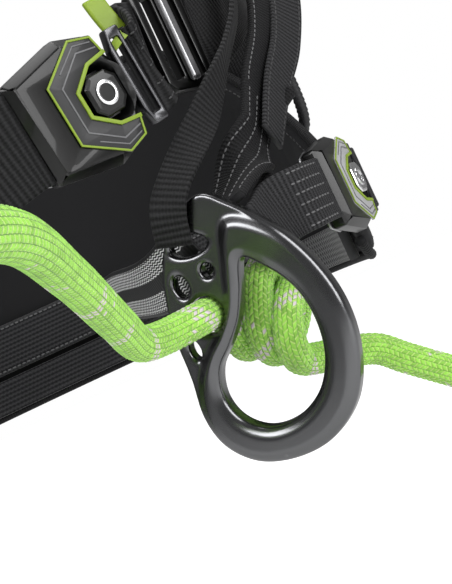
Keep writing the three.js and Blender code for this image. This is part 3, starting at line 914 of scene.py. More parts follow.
def knot_points():
    """The rope's working end: a small lobe, two full wraps behind the plate, then the tail."""
    points = [on_plate(HOLE_U + 0.4, -3, -6), on_plate(HOLE_U + 0.1, -5, -11)]
    for turn in np.linspace(KNOT_FROM, KNOT_TO, KNOT_POINTS):
        a = 2 * math.pi * turn
        up = math.sin(a) * np.interp(turn, *zip(*KNOT_TALL))
        middle = KNOT + KNOT_STEP * (turn - 0.5)
        points.append(on_plate(middle.x + KNOT_LEAN[0] * up, middle.y + KNOT_LEAN[1] * up,
                               middle.z - KNOT_DEEP * math.cos(a)))
    return [*points, on_plate(21, -39.5, -41), Vector((136, -79, -122)), TAIL_FROM, TAIL_END,
            TAIL_END + TAIL_WAY * TAIL_IN_CAP]


def add_bridge():
    """The rope between the plates."""
    line, far = route(bridge_points(), ROPE_STEP)
    bridge = add("bridge_rope_braid", rope_mesh(line, far), "bridge", ROPE, "bridge_rope", ["rope_bridge"])
    on_plate(HOLE_U, -2, 0) * MM


def add_knots():
    """The knot behind each plate, with its tail and the cap on the tail's end."""
    line, far = route(knot_points(), ROPE_STEP)
    knots = add_pair("knot_and_tail_braid", rope_mesh(line, far), "{side}_plate", ROPE, "bridge_rope",
                     ["stopper_knot", "bridge_tail"])
    cap_line = [TAIL_END + TAIL_WAY * s for s, _ in CAP_PROFILE]
    radii = [ROPE_R + r for _, r in CAP_PROFILE]
    cap_mesh = tube_mesh(cap_line, radii, 40, TAIL_WAY.orthogonal())
    caps = add_pair("tail_end_cap", cap_mesh, "{side}_plate", PLASTIC, "moulded_plastic", ["tail_end_sleeve"])
    for side, knot, cap in zip(SIDES, knots, caps):
        for_side(side, on_plate(HOLE_U + 0.4, -3, -6)) * MM
        [for_side(side, p) * MM for p in line[::4]]


# ---- flat parts with cut outlines ----
def rounded(points, radius, steps=4):
    """A closed outline with its corners rounded."""
    loop = [Vector(p) for p in points]
    result = []
    for a, b, c in zip(loop[-1:] + loop[:-1], loop, loop[1:] + loop[:1]):
        u, v = (a - b).normalized(), (c - b).normalized()
        back = min(radius / math.tan(u.angle(v) / 2), 0.45 * min((a - b).length, (c - b).length))
        for i in range(steps + 1):
            t = i / steps
            result.append((b + u * back) * (1 - t) ** 2 + b * (2 * t * (1 - t)) + (b + v * back) * t**2)
    return result


def area(loop):
    """Positive for an outline that runs anticlockwise."""
    return sum(a.x * b.y - b.x * a.y for a, b in zip(loop, loop[1:] + loop[:1])) / 2


def inset(loop, distance):
    """Moves an outline into the solid that it bounds."""
    moved = []
    for a, b, c in zip(loop[-1:] + loop[:-1], loop, loop[1:] + loop[:1]):
        d1, d2 = (b - a).normalized(), (c - b).normalized()
        n1, n2 = Vector((-d1.y, d1.x)), Vector((-d2.y, d2.x))
        moved.append(b + (n1 + n2) * (distance / max(0.4, 1 + n1.dot(n2))))
    return moved


def slab_mesh(outer, holes, levels, place):
    """A flat part from its outline and holes. levels are (inset, height) pairs from the bottom to the top."""
    loops = []
    for loop, sign in ((outer, 1), *((hole, -1) for hole in holes)):
        loop = [Vector(p) for p in loop]
        loops.append(loop if area(loop) * sign > 0 else loop[::-1])
    points, faces = [], []
    size = sum(len(loop) for loop in loops)
    for distance, height in levels:
        row = [inset(loop, distance) for loop in loops]
        points += [place(p.x, p.y, height) for loop in row for p in loop]
    for level in range(len(levels) - 1):
        start = level * size
        for loop in loops:
            n = len(loop)
            for k in range(n):
                a, b = start + k, start + (k + 1) % n
                faces.append((a, b, b + size, a + size))
            start += n
    flat = [[Vector((p.x, p.y, 0)) for p in loop] for loop in row]
    corners = [p for loop in flat for p in loop]
    top = (len(levels) - 1) * size
    for a, b, c in tessellate_polygon(flat):
        if (corners[b] - corners[a]).cross(corners[c] - corners[a]).z < 0:
            b, c = c, b
        faces.append((top + a, top + b, top + c))
        faces.append((a, c, b))
    mesh = make_mesh(points, faces)
    sharpen(mesh)
    return mesh


def sharpen(mesh, degrees=32):
    """Marks the edges that turn more than this as sharp."""
    bm = bmesh.new()
    bm.from_mesh(mesh)
    bmesh.ops.recalc_face_normals(bm, faces=bm.faces)
    for edge in bm.edges:
        edge.smooth = len(edge.link_faces) == 2 and edge.calc_face_angle(0) < math.radians(degrees)
    bm.to_mesh(mesh)
    bm.free()


def standing(at, along, scale=1.0, up=UP):
    """A place function: x along 'along', y along 'up', z out of the face."""
    out = along.cross(up)

    def put(x, y, z):
        return at + along * (x * scale) + up * (y * scale) + out * (z * scale)
    return put


def bevelled(low, high, edge, foot=0.0):
    """Levels of a slab with a rounded top edge, and with a rounded bottom edge when foot isn't 0."""
    levels = [(foot, low), (foot * 0.3, low + foot * 0.3), (0, low + foot)] if foot else [(0, low)]
    return levels + [(0, high - edge), (edge * 0.3, high - edge * 0.3), (edge, high)]


def line_loop(points, width):
    """The closed outline of a thin line drawn through the points."""
    pts = [Vector(p) for p in points]
    left, right = [], []
    for i, p in enumerate(pts):
        d1 = (p - pts[i - 1]).normalized() if i else (pts[1] - p).normalized()
        d2 = (pts[i + 1] - p).normalized() if i + 1 < len(pts) else d1
        n1, n2 = Vector((-d1.y, d1.x)), Vector((-d2.y, d2.x))
        off = (n1 + n2) * (width / 2 / max(0.5, 1 + n1.dot(n2)))
        left.append(p + off)
        right.append(p - off)
    return right + left[::-1]


# ---- padding ----
def applied(obj):
    """A mesh of the object with its modifiers applied, in place of its own."""
    graph = bpy.context.evaluated_depsgraph_get()
    mesh = bpy.data.meshes.new_from_object(obj.evaluated_get(graph))
    obj.modifiers.clear()
    obj.data = mesh
    return mesh


def coordinates(mesh):
    """The mesh's points as an array."""
    values = np.zeros(len(mesh.vertices) * 3)
    mesh.vertices.foreach_get("co", values)
    return values.reshape(-1, 3)


def blown_up(obj, pressure, cap):
    """Moves the object's points as cloth under pressure does, none further than the cap in millimetres."""
    rest = coordinates(obj.data)
    cloth = obj.modifiers.new("cloth", "CLOTH")
    cloth.settings.use_pressure = True
    cloth.settings.uniform_pressure_force = pressure
    cloth.settings.effector_weights.gravity = 0
    for number in range(1, CLOTH_FRAMES + 1):
        bpy.context.scene.frame_set(number)
    graph = bpy.context.evaluated_depsgraph_get()
    moved = coordinates(obj.evaluated_get(graph).to_mesh()) - rest
    obj.modifiers.clear()
    bpy.context.scene.frame_set(1)
    far = np.linalg.norm(moved, axis=1, keepdims=True)
    moved *= np.minimum(1, cap * MM / np.maximum(far, 1e-9))
    obj.data.vertices.foreach_set("co", (rest + moved).ravel())


def puffed(mesh, voxel, pressure, cap):
    """The mesh as a stuffed cover: even quads, blown up by cloth pressure, then smoothed."""
    obj = bpy.data.objects.new("puff", mesh)
    bpy.context.scene.collection.objects.link(obj)
    remesh = obj.modifiers.new("remesh", "REMESH")
    remesh.mode = "VOXEL"
    remesh.voxel_size = voxel * MM
    applied(obj)
    blown_up(obj, pressure, cap)
    divide = obj.modifiers.new("divide", "SUBSURF")
    divide.levels = divide.render_levels = 1
    mesh = applied(obj)
    mesh.polygons.foreach_set("use_smooth", [True] * len(mesh.polygons))
    bpy.data.objects.remove(obj)
    return mesh


CLOTH_FRAMES = 20
CORNER_SPAN, CORNER_RISE = 8, 10
PAD_SHRINK = 1.3
PAD_ROUND = 6
PAD_STEPS = 104
BINDING_IN = 2.1
BINDING_R = 2.6
SEAM_IN = 9
SEAM_END = PAD_END - 9
SEAM_STEPS = 160
ROLL_END, ROLL_Z, ROLL_TALL, ROLL_THICK = 96, -76, 20, 4.8
SLEEVE_TALL, SLEEVE_THICK, SLEEVE_Z = 29, 3.8, -48.5
SLEEVE_SPANS = {"left": (16, 52), "right": (-52, -5)}


def pad_corner(angle):
    """How much the pad's corner is cut back at an angle."""
    return CORNER_RISE * smooth((abs(angle) - (PAD_END - CORNER_SPAN)) / CORNER_SPAN)


def pad_top(angle):
    """The height of the pad's upper edge, which falls from the back towards the hips."""
    return PAD_TOP + (PAD_HIP_TOP - PAD_TOP) * smooth((abs(angle) - 25) / 75) - pad_corner(angle)


def pad_bottom(angle):
    """The height of the pad's lower edge."""
    return PAD_BOTTOM + pad_corner(angle)


def even_angles(half, steps):
    """Angles from -half to half, in even steps."""
    return [(2 * i / steps - 1) * half for i in range(steps + 1)]


def waist_pad_mesh():
    """The pad's cover: a bevelled wall round the back and hips, blown up a little."""
    rings = []
    inner, outer = PAD_SHRINK, PAD_THICK - PAD_SHRINK
    for angle in even_angles(PAD_END - 0.5, PAD_STEPS):
        low, high = pad_bottom(angle) + PAD_SHRINK, pad_top(angle) - PAD_SHRINK
        section = ((3.5, low), (6.5, low), (outer, low + PAD_ROUND), (outer, high - PAD_ROUND), (6.5, high),
                   (3.5, high), (inner, high - PAD_ROUND), (inner, low + PAD_ROUND))
        rings.append([on_oval(angle, off, z) for off, z in section])
    return puffed(skin_mesh(rings), 4, 4, 1.3)


def pad_seams(off, outward):
    """Seams along both long edges of one face of the pad."""
    runs = []
    for edge, inside in ((pad_bottom, SEAM_IN), (pad_top, -SEAM_IN)):
        run = []
        for angle in even_angles(SEAM_END, SEAM_STEPS):
            z = edge(angle) + inside
            p = on_oval(angle, off, z)
            run.append((p, (on_oval(angle, off + outward, z) - p).normalized()))
        runs.append(run)
    return runs


def lying_on(mesh, runs):
    """The seam runs with each point moved to the nearest place on the mesh."""
    tree = BVHTree.FromPolygons([v.co for v in mesh.vertices], [tuple(p.vertices) for p in mesh.polygons])
    return [[(tree.find_nearest(p * MM)[0] / MM, out) for p, out in run] for run in runs]


def add_pad():
    """The waist pad with the bindings on its edges and its rows of stitching."""
    pad = add("waist_pad_cover", waist_pad_mesh(), "belt", LINING, "padding_cover", ["waist_pad"])
    for name, edge, inside in (("pad_lower_binding", pad_bottom, BINDING_IN),
                               ("pad_upper_binding", pad_top, -BINDING_IN)):
        angles = np.linspace(-PAD_END + 2, PAD_END - 2, 60)
        line, far = route([on_oval(a, PAD_THICK / 2, edge(a) + inside) for a in angles], 3)
        add(name, tube_mesh(line, BINDING_R, 12, UP, far), "belt", WEBBING, "black_webbing")
    seams = lying_on(pad.data, pad_seams(0.1, -1) + pad_seams(PAD_THICK - 0.1, 1))
    add("pad_edge_stitching", stitches_mesh(seams, 3.6, 2.6, 0.34), "belt", THREAD, "black_webbing")


def add_roll_and_sleeves():
    """The padded band along the pad's lower edge, and the two sleeves that keep the load webbing."""
    roll = [on_oval(a, -2.8, ROLL_Z) for a in np.linspace(-ROLL_END, ROLL_END, 50)]
    mesh = strap_mesh(roll, ROLL_TALL, ROLL_THICK, step=2.5)
    add("lower_roll_cover", mesh, "belt", KNIT, "ribbed_mesh", ["lower_pad_roll"])
    for side, (low, high) in SLEEVE_SPANS.items():
        points = [on_oval(a, -2.3, SLEEVE_Z) for a in np.linspace(low, high, 24)]
        mesh = strap_mesh(points, SLEEVE_TALL, SLEEVE_THICK, step=1.5)
        add(f"{side}_sleeve_knit", mesh, "belt", KNIT, "ribbed_mesh", [f"{side}_keeper_sleeve"])
        runs = []
        for face in (1, -1):
            runs += strap_seams(points, SLEEVE_TALL, SLEEVE_THICK, (UP, UP), (0, 1), (-0.86, 0.86), face)
        add(f"{side}_sleeve_stitching", stitches_mesh(runs, 3.2), "belt", GREY_THREAD, "black_webbing")


# ---- webbing ----
BUCKLE_AT = Vector((71, -132, 10))
BUCKLE_ALONG = (turned(math.radians(36)) + UP * 0.22).normalized()
BUCKLE_UP = upright(BUCKLE_ALONG, (0, -0.2, 1))
ADJUSTER_AT, ADJUSTER_ALONG = Vector((112, -76, 33)), turned(math.radians(52))
ADJUSTER_HALF, ADJUSTER_TALL, ADJUSTER_THICK = 15, 24, 3
HIP_AT, HIP_ALONG, HIP_SCALE = Vector((152.5, -59, -52.5)), Vector((0.36, 0.93, 0)).normalized(), 0.86
SHELL_LEFT, TONGUE_RIGHT, LEAD = -22, 34, 5
BELT_WIDE, BELT_THICK, WEB_THICK = 36, 2.4, 2.2
LEVEL = (UP, UP)
FIVE_ROWS = (-0.8, -0.4, 0, 0.4, 0.8)
EDGE_ROWS = (-0.86, 0.86)


def strap_end(at, away):
    """The last straight stretch of a strap that ends at a point."""
    return [at + away * LEAD, at.copy()]


def add_strap(name, points, width, thick, sides, body, material, replaces, seams=(), pair=True, step=2.0,
              thread=THREAD, blend=None, slot="black_webbing"):
    """Webbing with its rows of stitching on both faces; seams are (from, to, places across)."""
    put = add_pair if pair else add
    put(name, strap_mesh(points, width, thick, sides, step), body, material, slot, replaces, blend)
    runs = []
    for start, end, across in seams:
        for face in BOTH_FACES:
            runs += strap_seams(points, width, thick, sides, (start, end), across, face, step)
    if runs:
        put(name + "_stitching", stitches_mesh(runs, 2.8, 2.0, 0.3), body, thread, slot, (), blend)


def add_back_belt():
    """The belt webbing round the outside of the pad."""
    off = BELT_OFF + BELT_THICK / 2
    back = [on_oval(a, off, BELT_Z) for a in np.linspace(-BELT_SIDE, BELT_SIDE, 30)]
    add_strap("back_belt_webbing", back, 44, BELT_THICK, LEVEL, "belt", WEBBING, ["waist_belt_back"],
              [(0, 0.06, FIVE_ROWS), (0.94, 1, FIVE_ROWS), (0.06, 0.94, EDGE_ROWS)], pair=False)
    out = ADJUSTER_AT + ADJUSTER_ALONG * (ADJUSTER_HALF + 3 * GAP)
    side = [on_oval(angle, off, BELT_Z + rise) for angle, rise in ((BELT_SIDE + 0.15, 0), (52, 0), (63, 2))]
    side += [Vector((153, 47, 58)), Vector((150, 8, 62)), Vector((139, -34, 46))]
    side += strap_end(out, ADJUSTER_ALONG)
    add_strap("side_belt_webbing", side, BELT_WIDE, BELT_THICK, LEVEL, "belt", RIBBED, ["belt_side_strap"],
              [(0, 0.12, (-0.8, -0.3, 0.3, 0.8))])


def add_front_belt():
    """The short strap from the adjuster to the buckle, and the strap between the two buckles."""
    near = ADJUSTER_AT - ADJUSTER_ALONG * (ADJUSTER_HALF + 3 * GAP)
    tongue = BUCKLE_AT + BUCKLE_ALONG * (TONGUE_RIGHT + GAP)
    front = strap_end(near, -ADJUSTER_ALONG)[::-1] + strap_end(tongue, BUCKLE_ALONG)
    add_strap("front_belt_webbing", front, BELT_WIDE, BELT_THICK, (UP, BUCKLE_UP), "belt", RIBBED,
              ["belt_front_strap"], [(0.55, 0.95, FIVE_ROWS)])
    lead = strap_end(BUCKLE_AT + BUCKLE_ALONG * (SHELL_LEFT - GAP), -BUCKLE_ALONG)
    middle = [mirror(p) for p in reversed(lead)] + [Vector((-14, -157, -4)), Vector((14, -157, -4))] + lead
    lean = (mirror(BUCKLE_UP), UP, BUCKLE_UP)
    add_strap("centre_belt_webbing", middle, BELT_WIDE, BELT_THICK, lean, "belt", RIBBED,
              ["belt_centre_strap"], pair=False)


NARROW_SIDES = (Vector((1, -0.2, 0.2)), Vector((0.75, 0.6, 0)), Vector((0.1, 1, 0)), Vector((0, 1, 0)))
WIDE_SIDES = (Vector((0.9, -0.4, 0.3)), Vector((0.35, 0.9, 0)), Vector((0.6, 0.8, 0)), Vector((0.8, 0.6, 0)))
NARROW_LINE = [on_plate(-2, 27, 6), on_plate(4, 42, 8), Vector((114, -93, -4)), Vector((132, -68, 20)),
               Vector((143, -56, 38)), Vector((148.5, -46, 62))]
WIDE_LINE = [on_plate(16.5, 32, PLATE_BACK - 5.7), Vector((127, -77, -20)), Vector((139, -62, 2)),
             Vector((151, -48, 20)), Vector((160, -37, 42)), Vector((163, -28, 66))]
HIP_LINE = [on_plate(28, 17, PLATE_BACK - 8), Vector((124, -102, -54)), Vector((136, -95, -53))]
NARROW_BEND = ("belt", "{side}_plate", Vector((104, -104, -28)), on_plate(0, 33, 6))
WIDE_BEND = ("belt", "{side}_plate", Vector((135, -70, -20)), on_plate(16.5, 34, PLATE_BACK - 5))
HIP_BEND = ("belt", "{side}_plate", Vector((128, -101, -53)), on_plate(27.5, 17, PLATE_BACK - 3))
LOOP_ENDS = {"upper": ((137, -58, -14), (151, -52, -5)), "lower": ((118, -90, -44), (126, -84, -38))}
LOOP_R = 2.9


def add_hanger_folds():
    """The second layer of the wide hanger, and the short tubes where its loops turn back."""
    folded = [p + Vector((7, 4, -3)) for p in WIDE_LINE[1:]]
    add_strap("wide_hanger_return", folded, 18, WEB_THICK, WIDE_SIDES[1:], "", STITCHED, (),
              [(0, 0.97, (-0.8, 0.8))], blend=WIDE_BEND)
    for name, (first, last) in LOOP_ENDS.items():
        first, last = Vector(first), Vector(last)
        line, far = route([first, (first + last) / 2, last], 0.8)
        radii = [LOOP_R * (1 - 0.35 * smooth(1 - min(s, far[-1] - s) / 1.6)) for s in far]
        add_pair(f"hanger_{name}_loop_end", tube_mesh(line, radii, 24, UP, far), "", WEBBING,
                 "black_webbing", (), WIDE_BEND)


def add_hangers():
    """The two straps from the plate up to the belt."""
    add_strap("narrow_hanger_webbing", NARROW_LINE, 14, WEB_THICK, NARROW_SIDES, "", RIBBED,
              ["narrow_hanger_strap"], blend=NARROW_BEND)
    add_strap("wide_hanger_webbing", WIDE_LINE, 24, WEB_THICK + 1, WIDE_SIDES, "", WEBBING,
              ["wide_hanger_strap"], [(0.02, 0.45, (-0.78, -0.26, 0.26, 0.78)), (0.45, 1, (-0.85, 0.85))],
              blend=WIDE_BEND, thread=GREY_THREAD)
    add_hanger_folds()


def add_hip_webbing():
    """The strap from the plate to the hip buckle, and the tab from the buckle back onto the pad."""
    shell_end = HIP_AT + HIP_ALONG * (SHELL_LEFT * HIP_SCALE - GAP)
    add_strap("hip_webbing", HIP_LINE + strap_end(shell_end, -HIP_ALONG), 27, 3, LEVEL, "", STITCHED,
              ["hip_strap"], [(0.45, 0.95, (-0.85, -0.5, -0.17, 0.17, 0.5, 0.85))], thread=GREY_THREAD,
              blend=HIP_BEND)
    tongue_end = HIP_AT + HIP_ALONG * (TONGUE_RIGHT * HIP_SCALE + GAP)
    tab = strap_end(tongue_end, HIP_ALONG)[::-1]
    tab += [on_oval(84, PAD_THICK + 5, -53), on_oval(70, PAD_THICK + 3, -53)]
    add_strap("wing_webbing", tab, 30, 3, LEVEL, "belt", STITCHED, ["hip_wing_tab"],
              [(0.3, 0.97, (-0.85, -0.4, 0, 0.4, 0.85))])


def add_load_webbing():
    """The reflective webbing that runs from each plate inside the pad."""
    slot_back = on_plate(-1, 25, PLATE_BACK - 5.7)
    lines = {
        "left": [slot_back, Vector((70, -96, -59)), Vector((42, -40, -56)), Vector((18, 50, -52)),
                 Vector((4, 106, -49)), on_oval(-4.4, -2.3, SLEEVE_Z)],
        "right": [mirror(slot_back), Vector((-103, -80, -50)), Vector((-132, -26, -48)),
                  Vector((-137, 30, -48)), on_oval(-52.6, -2.3, SLEEVE_Z)],
    }
    start, end = Vector((70, -90, -58)), on_plate(-6, 25, PLATE_BACK - 4)
    for side, points in lines.items():
        mesh = strap_mesh(points, 25, WEB_THICK, (for_side(side, Vector((-0.2, 0, 1))), UP), 1.5)
        bend = ("belt", f"{side}_plate", for_side(side, start) * MM, for_side(side, end) * MM)
        add(f"{side}_reflective_webbing", mesh, "", REFLECTIVE, "reflective_webbing",
            [f"{side}_load_webbing"], bend)


# ---- buckles ----
def octagon(x, y, half_wide, half_tall, cut):
    """A rectangle with its corners cut off."""
    wide, tall = half_wide - cut, half_tall - cut
    corners = ((-half_wide, -tall), (-wide, -half_tall), (wide, -half_tall), (half_wide, -tall))
    near = [(x + a, y + b) for a, b in corners]
    return near + [(x - a, y - b) for a, b in corners]


PRESS_X = 12
SHELL_OUTLINE = [(SHELL_LEFT, -20), (SHELL_LEFT, 20), (6, 26), (19, 22), (25, 9), (25, -9), (19, -22),
                 (6, -26)]
BACK_OUTLINE = [(SHELL_LEFT - 1.2, -18.5), (SHELL_LEFT - 1.2, 18.5), (-10, 22.6), (-10, -22.6)]
PANEL_OUTER = [(19, 21), (9.5, 23.5), (-8, 12), (-8, -12), (9.5, -23.5), (19, -21), (21, -13.5),
               (11.5, -12.2), (2, -5), (2, 5), (11.5, 12.2), (21, 13.5)]
PANEL_OUTSIDE, PANEL_INSIDE = (11, 0, 1, 2, 3, 4, 5, 6), (11, 10, 9, 8, 7, 6)
MIDDLE_LINE = [(18.6, 16.2), (9.8, 17.6), (-2.6, 9), (-2.6, -9), (9.8, -17.6), (18.6, -16.2)]
CORNER_LINE = [(17.6, 18.8), (10, 20.4), (-0.5, 13.8)]
TONGUE_OUTLINE = [(25.5, -12), (25.5, 12), (27.5, 20), (TONGUE_RIGHT, 20), (TONGUE_RIGHT, -20), (27.5, -20)]
TONGUE_WINDOW = [(28, -16), (28, 16), (32, 16), (32, -16)]
SHELL_LEVELS = [(1.4, -6), (0.4, -5.6), (0, -4.6), (0, 0.5), (0.5, 1.1), (3.2, 4.4), (3.8, 4.7)]
PRESS_LEVELS = [(1.2, -3.9), (0.2, -3.4), (0, -2.6), (0, 6.2), (0.5, 6.8), (1.5, 7.1)]
TONGUE_LEVELS = [(0.7, -2.5), (0.2, -2.3), (0, -1.8), (0, 1.8), (0.2, 2.3), (0.7, 2.5)]
ADJUSTER_LEVELS = [(1.0, -3), (0.3, -2.7), (0, -2), (0, 2), (0.3, 2.7), (1.0, 3)]
BAR_LEVELS = [(0.6, -1.5), (0, -1), (0, 0.6), (0.5, 1.2), (1.2, 1.5)]


def line_slab(points, width, high, edge, place):
    """A thin raised line on a buckle's panel."""
    return slab_mesh(line_loop(points, width), [], bevelled(5.2, high, edge), place)


def ring_loop(half_wide, half_tall):
    """An oval outline round the middle of the press."""
    turns = np.linspace(0, 2 * math.pi, 40, endpoint=False)
    return [(PRESS_X + half_wide * math.cos(a), half_tall * math.sin(a)) for a in turns]


def add_buckle_frame(name, place):
    """The buckle's body and its back cover."""
    opening = rounded(octagon(PRESS_X, 0, 8.5, 9, 4), 1.2)
    shell = slab_mesh(rounded(SHELL_OUTLINE, 2.2), [opening], SHELL_LEVELS, place)
    add_pair(name + "_body", shell, "belt", SHELL, "anodised_shell", [name + "_shell"])
    back = slab_mesh(rounded(BACK_OUTLINE, 2), [], bevelled(-7.4, -6.1, 0.4, 0.4), place)
    add_pair(name + "_back_cover", back, "belt", GREY_METAL, "anodised_shell", [name + "_back_plate"])


def add_buckle_panel(name, place, panel):
    """The bracket-shaped panel with lime lines along its edges and thin grey ones between."""
    face = slab_mesh(rounded(PANEL_OUTER, 1.1, 3), [], bevelled(4.3, 5.3, 0.25), place)
    add_pair(name + "_panel", face, "belt", panel, "moulded_plastic", [name + "_inlay"])
    outside = [tuple(Vector(PANEL_OUTER[i]) * 0.97) for i in PANEL_OUTSIDE]
    inside = [PANEL_OUTER[i] for i in PANEL_INSIDE]
    lime = [line_slab(outside, 0.8, 5.75, 0.15, place), line_slab(inside, 1.5, 5.95, 0.2, place)]
    add_pair(name + "_lime_lines", joined(lime), "belt", LIME, "moulded_plastic")
    lower_corner = [(x, -y) for x, y in CORNER_LINE]
    grey = [line_slab(MIDDLE_LINE, 0.6, 5.6, 0.1, place), line_slab(CORNER_LINE, 0.5, 5.6, 0.1, place),
            line_slab(lower_corner, 0.5, 5.6, 0.1, place)]
    add_pair(name + "_grey_lines", joined(grey), "belt", LINE_GREY, "anodised_shell")


def add_buckle_press(name, place, metal):
    """The press catch, and the bright ring let into it."""
    body = "{side}_" + name.split("_")[0] + "_catch"
    press = slab_mesh(rounded(octagon(PRESS_X, 0, 7.6, 8.1, 3.6), 1), [], PRESS_LEVELS, place)
    add_pair(name + "_press", press, body, metal, "satin_steel", [name + "_catch"])
    ring = slab_mesh(ring_loop(4.6, 4.9), [ring_loop(3.1, 3.4)], bevelled(7.0, 7.7, 0.3), place)
    add_pair(name + "_press_ring", ring, body, STEEL, "satin_steel")


def add_buckle_tongue(name, place):
    """The tongue plate, pushed into the buckle."""
    tongue = slab_mesh(rounded(TONGUE_OUTLINE, 1.2), [rounded(TONGUE_WINDOW, 0.8)], TONGUE_LEVELS, place)
    add_pair(name + "_tongue_plate", tongue, "belt", DARK_STEEL, "satin_steel", [name + "_tongue"])


def add_buckle(name, place, panel, press_metal):
    """A left and a right buckle from a place function of the left one."""
    add_buckle_frame(name, place)
    add_buckle_panel(name, place, panel)
    add_buckle_press(name, place, press_metal)
    add_buckle_tongue(name, place)


def add_adjusters():
    """The belt adjuster's frame with two windows, and the bar that slides on it."""
    place = standing(ADJUSTER_AT, ADJUSTER_ALONG)
    middles = (0.5 - ADJUSTER_HALF / 2, ADJUSTER_HALF / 2 - 0.5)
    windows = [rounded(octagon(x, 0, 3.2, ADJUSTER_TALL - 5, 1), 0.8) for x in middles]
    outline = rounded(octagon(0, 0, ADJUSTER_HALF, ADJUSTER_TALL, 4), 2)
    frame_mesh = slab_mesh(outline, windows, ADJUSTER_LEVELS, place)
    add_pair("adjuster_frame", frame_mesh, "belt", SHELL, "anodised_shell", ["belt_adjuster_frame"])
    lift = ADJUSTER_ALONG.cross(UP) * (ADJUSTER_THICK + 1.5 + GAP)
    place = standing(ADJUSTER_AT + lift, ADJUSTER_ALONG)
    bar = slab_mesh(rounded(octagon(0, 0, 2.6, 21, 1), 0.8), [], BAR_LEVELS, place)
    add_pair("adjuster_slide_bar", bar, "{side}_adjuster_bar", GREY_METAL, "satin_steel",
             ["belt_adjuster_bar"])


def add_lime_tabs():
    """The pull tab of the belt webbing and the small woven label beside it."""
    flat_to = Vector((1, 0.5, 0))
    tab = [Vector((92, -108, 52)), Vector((93.5, -108, 45)), Vector((96, -107, 36))]
    add_strap("belt_pull_tab", tab, 9, 2, (flat_to, flat_to), "belt", LIME, (), step=1.0,
              slot="moulded_plastic")
    label = [Vector((92, -119, 28)), Vector((96, -118, 30.5)), Vector((100, -116, 33))]
    add_strap("belt_side_label", label, 3.4, 1.2, LEVEL, "belt", LIME, (), step=1.0, slot="moulded_plastic")


# ---- the remaining pieces ----
RING_R, RING_BAR = 20.5, 4.5
RING_SQUARE = 0.7
RING_ROUND, RING_SECTION = 96, 24


def squared(value):
    """A cosine or sine made fuller, so that a round section becomes a soft square."""
    return RING_BAR * math.copysign(abs(value) ** RING_SQUARE, value)


def add_bridge_ring():
    """The forged ring that runs on the bridge."""
    at = Vector((0, BRIDGE_ARC_Y - BRIDGE_ARC_R, BRIDGE_ARC_Z - 9))
    points, faces = [], []
    for i in range(RING_ROUND):
        a = 2 * math.pi * i / RING_ROUND
        row, after = i * RING_SECTION, (i + 1) % RING_ROUND * RING_SECTION
        for k in range(RING_SECTION):
            b = 2 * math.pi * k / RING_SECTION
            r = RING_R + squared(math.cos(b))
            points.append(at + Vector((squared(math.sin(b)), r * math.cos(a), r * math.sin(a))))
            j = (k + 1) % RING_SECTION
            faces.append((row + k, after + k, after + j, row + j))
    mesh = make_mesh(points, faces)
    add("bridge_ring_forging", mesh, "ring", FORGED, "forged_aluminium", ["bridge_ring"])


# each gear loop's name, first and last angle, and drop
GEAR_LOOPS = (("rear_gear_loop", 12, 38, 52), ("side_gear_loop", 44, 66, 46))
GEAR_R, GEAR_RIB, GEAR_PITCH = 3.1, 0.25, 3.0


def add_gear_loops():
    """Ribbed tubes that hang from the belt in a wide U."""
    off, top = BELT_OFF + BELT_THICK + 4.4, BELT_Z - 12
    for name, low, high, drop in GEAR_LOOPS:
        mid = (low + high) / 2
        line, far = route([on_oval(low, off, top), on_oval(low + 1, off + 5, top - drop * 0.5),
                           on_oval(mid - 5, off + 9, top - drop), on_oval(mid + 5, off + 9, top - drop),
                           on_oval(high - 1, off + 5, top - drop * 0.5), on_oval(high, off, top)], 1.0)
        radii = []
        for s in far:
            rib = GEAR_RIB * math.cos(2 * math.pi * s / GEAR_PITCH)
            radii.append(GEAR_R + rib * smooth(min(s, far[-1] - s) / 12 - 0.5))
        mesh = tube_mesh(line, radii, 20, UP, far)
        add_pair(name + "_tube", mesh, "belt", PLASTIC, "moulded_plastic", [name])


BACK_SHELL_END, BACK_SHELL_LOW, BACK_SHELL_IN = 50, -56, 16
BACK_SHELL_ROWS, BACK_SHELL_STEPS = 40, 100


def back_shell_off(share, z):
    """How far out the shell's outer face stands: ribbed, and rounded off at its edges."""
    edge = min(1, min(share, 1 - share) * 18) ** 0.5
    rib = 0.25 * math.cos(z * 2 * math.pi / 14)
    return PAD_THICK + GAP + 1.5 + (1.1 + rib) * edge


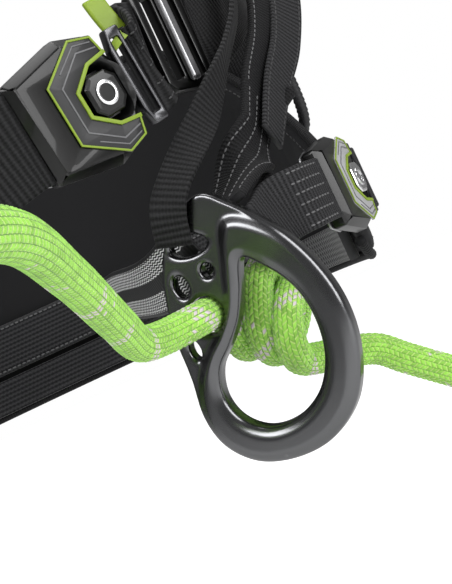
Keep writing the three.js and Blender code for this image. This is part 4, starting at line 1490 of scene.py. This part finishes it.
def add_back_shell():
    """The stiff moulded shell on the outside of the pad."""
    rings = []
    shares = [k / BACK_SHELL_ROWS for k in range(BACK_SHELL_ROWS + 1)]
    for angle in even_angles(BACK_SHELL_END, BACK_SHELL_STEPS):
        tall = pad_top(angle) - BACK_SHELL_IN - BACK_SHELL_LOW
        heights = [BACK_SHELL_LOW + tall * t for t in shares]
        outer = [on_oval(angle, back_shell_off(t, z), z) for t, z in zip(shares, heights)]
        inner = [on_oval(angle, PAD_THICK + GAP + 0.2, z) for z in reversed(heights)]
        rings.append(outer + inner)
    add("back_shell_moulding", skin_mesh(rings), "belt", PLASTIC, "moulded_plastic", ["back_shell"])


def add_floor():
    """A pale floor below the saddle, brighter where the camera sees it than as a light."""
    bpy.ops.mesh.primitive_plane_add(size=FLOOR_SIZE, location=(0, 0, FLOOR_Z))
    floor = bpy.context.object
    floor.name = "studio_floor"
    s = Shader("floor_paint", roughness=0.9, specular=0.1)
    s.color((FLOOR_GREY, FLOOR_GREY, FLOOR_GREY))
    s.base.inputs["Emission Color"].default_value = (1, 1, 1, 1)
    seen = Value(s, s.node("ShaderNodeLightPath").outputs["Is Camera Ray"])
    s.link(seen.then("MULTIPLY_ADD", FLOOR_SEEN, FLOOR_GLOW), s.base.inputs["Emission Strength"])
    floor.data.materials.append(s.material)


def main():
    """Makes the camera and the cords first, then the studio and every other piece."""
    bpy.context.scene.view_settings.view_transform = "Standard"
    add_camera()
    add_bridge()
    add_knots()
    add_floor()
    add_world()
    add_lights()
    add_pair("hip_plate_forging", hip_plate_mesh(), "{side}_plate", FORGED, "forged_aluminium", ["hip_plate"])
    add_load_webbing()
    add_back_belt()
    add_front_belt()
    add_hangers()
    add_hip_webbing()
    add_pad()
    add_roll_and_sleeves()
    add_back_shell()
    add_buckle("waist_buckle", standing(BUCKLE_AT, BUCKLE_ALONG, 1.0, BUCKLE_UP), PANEL, SHELL)
    add_buckle("hip_buckle", standing(HIP_AT, HIP_ALONG, HIP_SCALE), PALE_PANEL, STEEL)
    add_adjusters()
    add_lime_tabs()
    add_bridge_ring()
    add_gear_loops()


main()
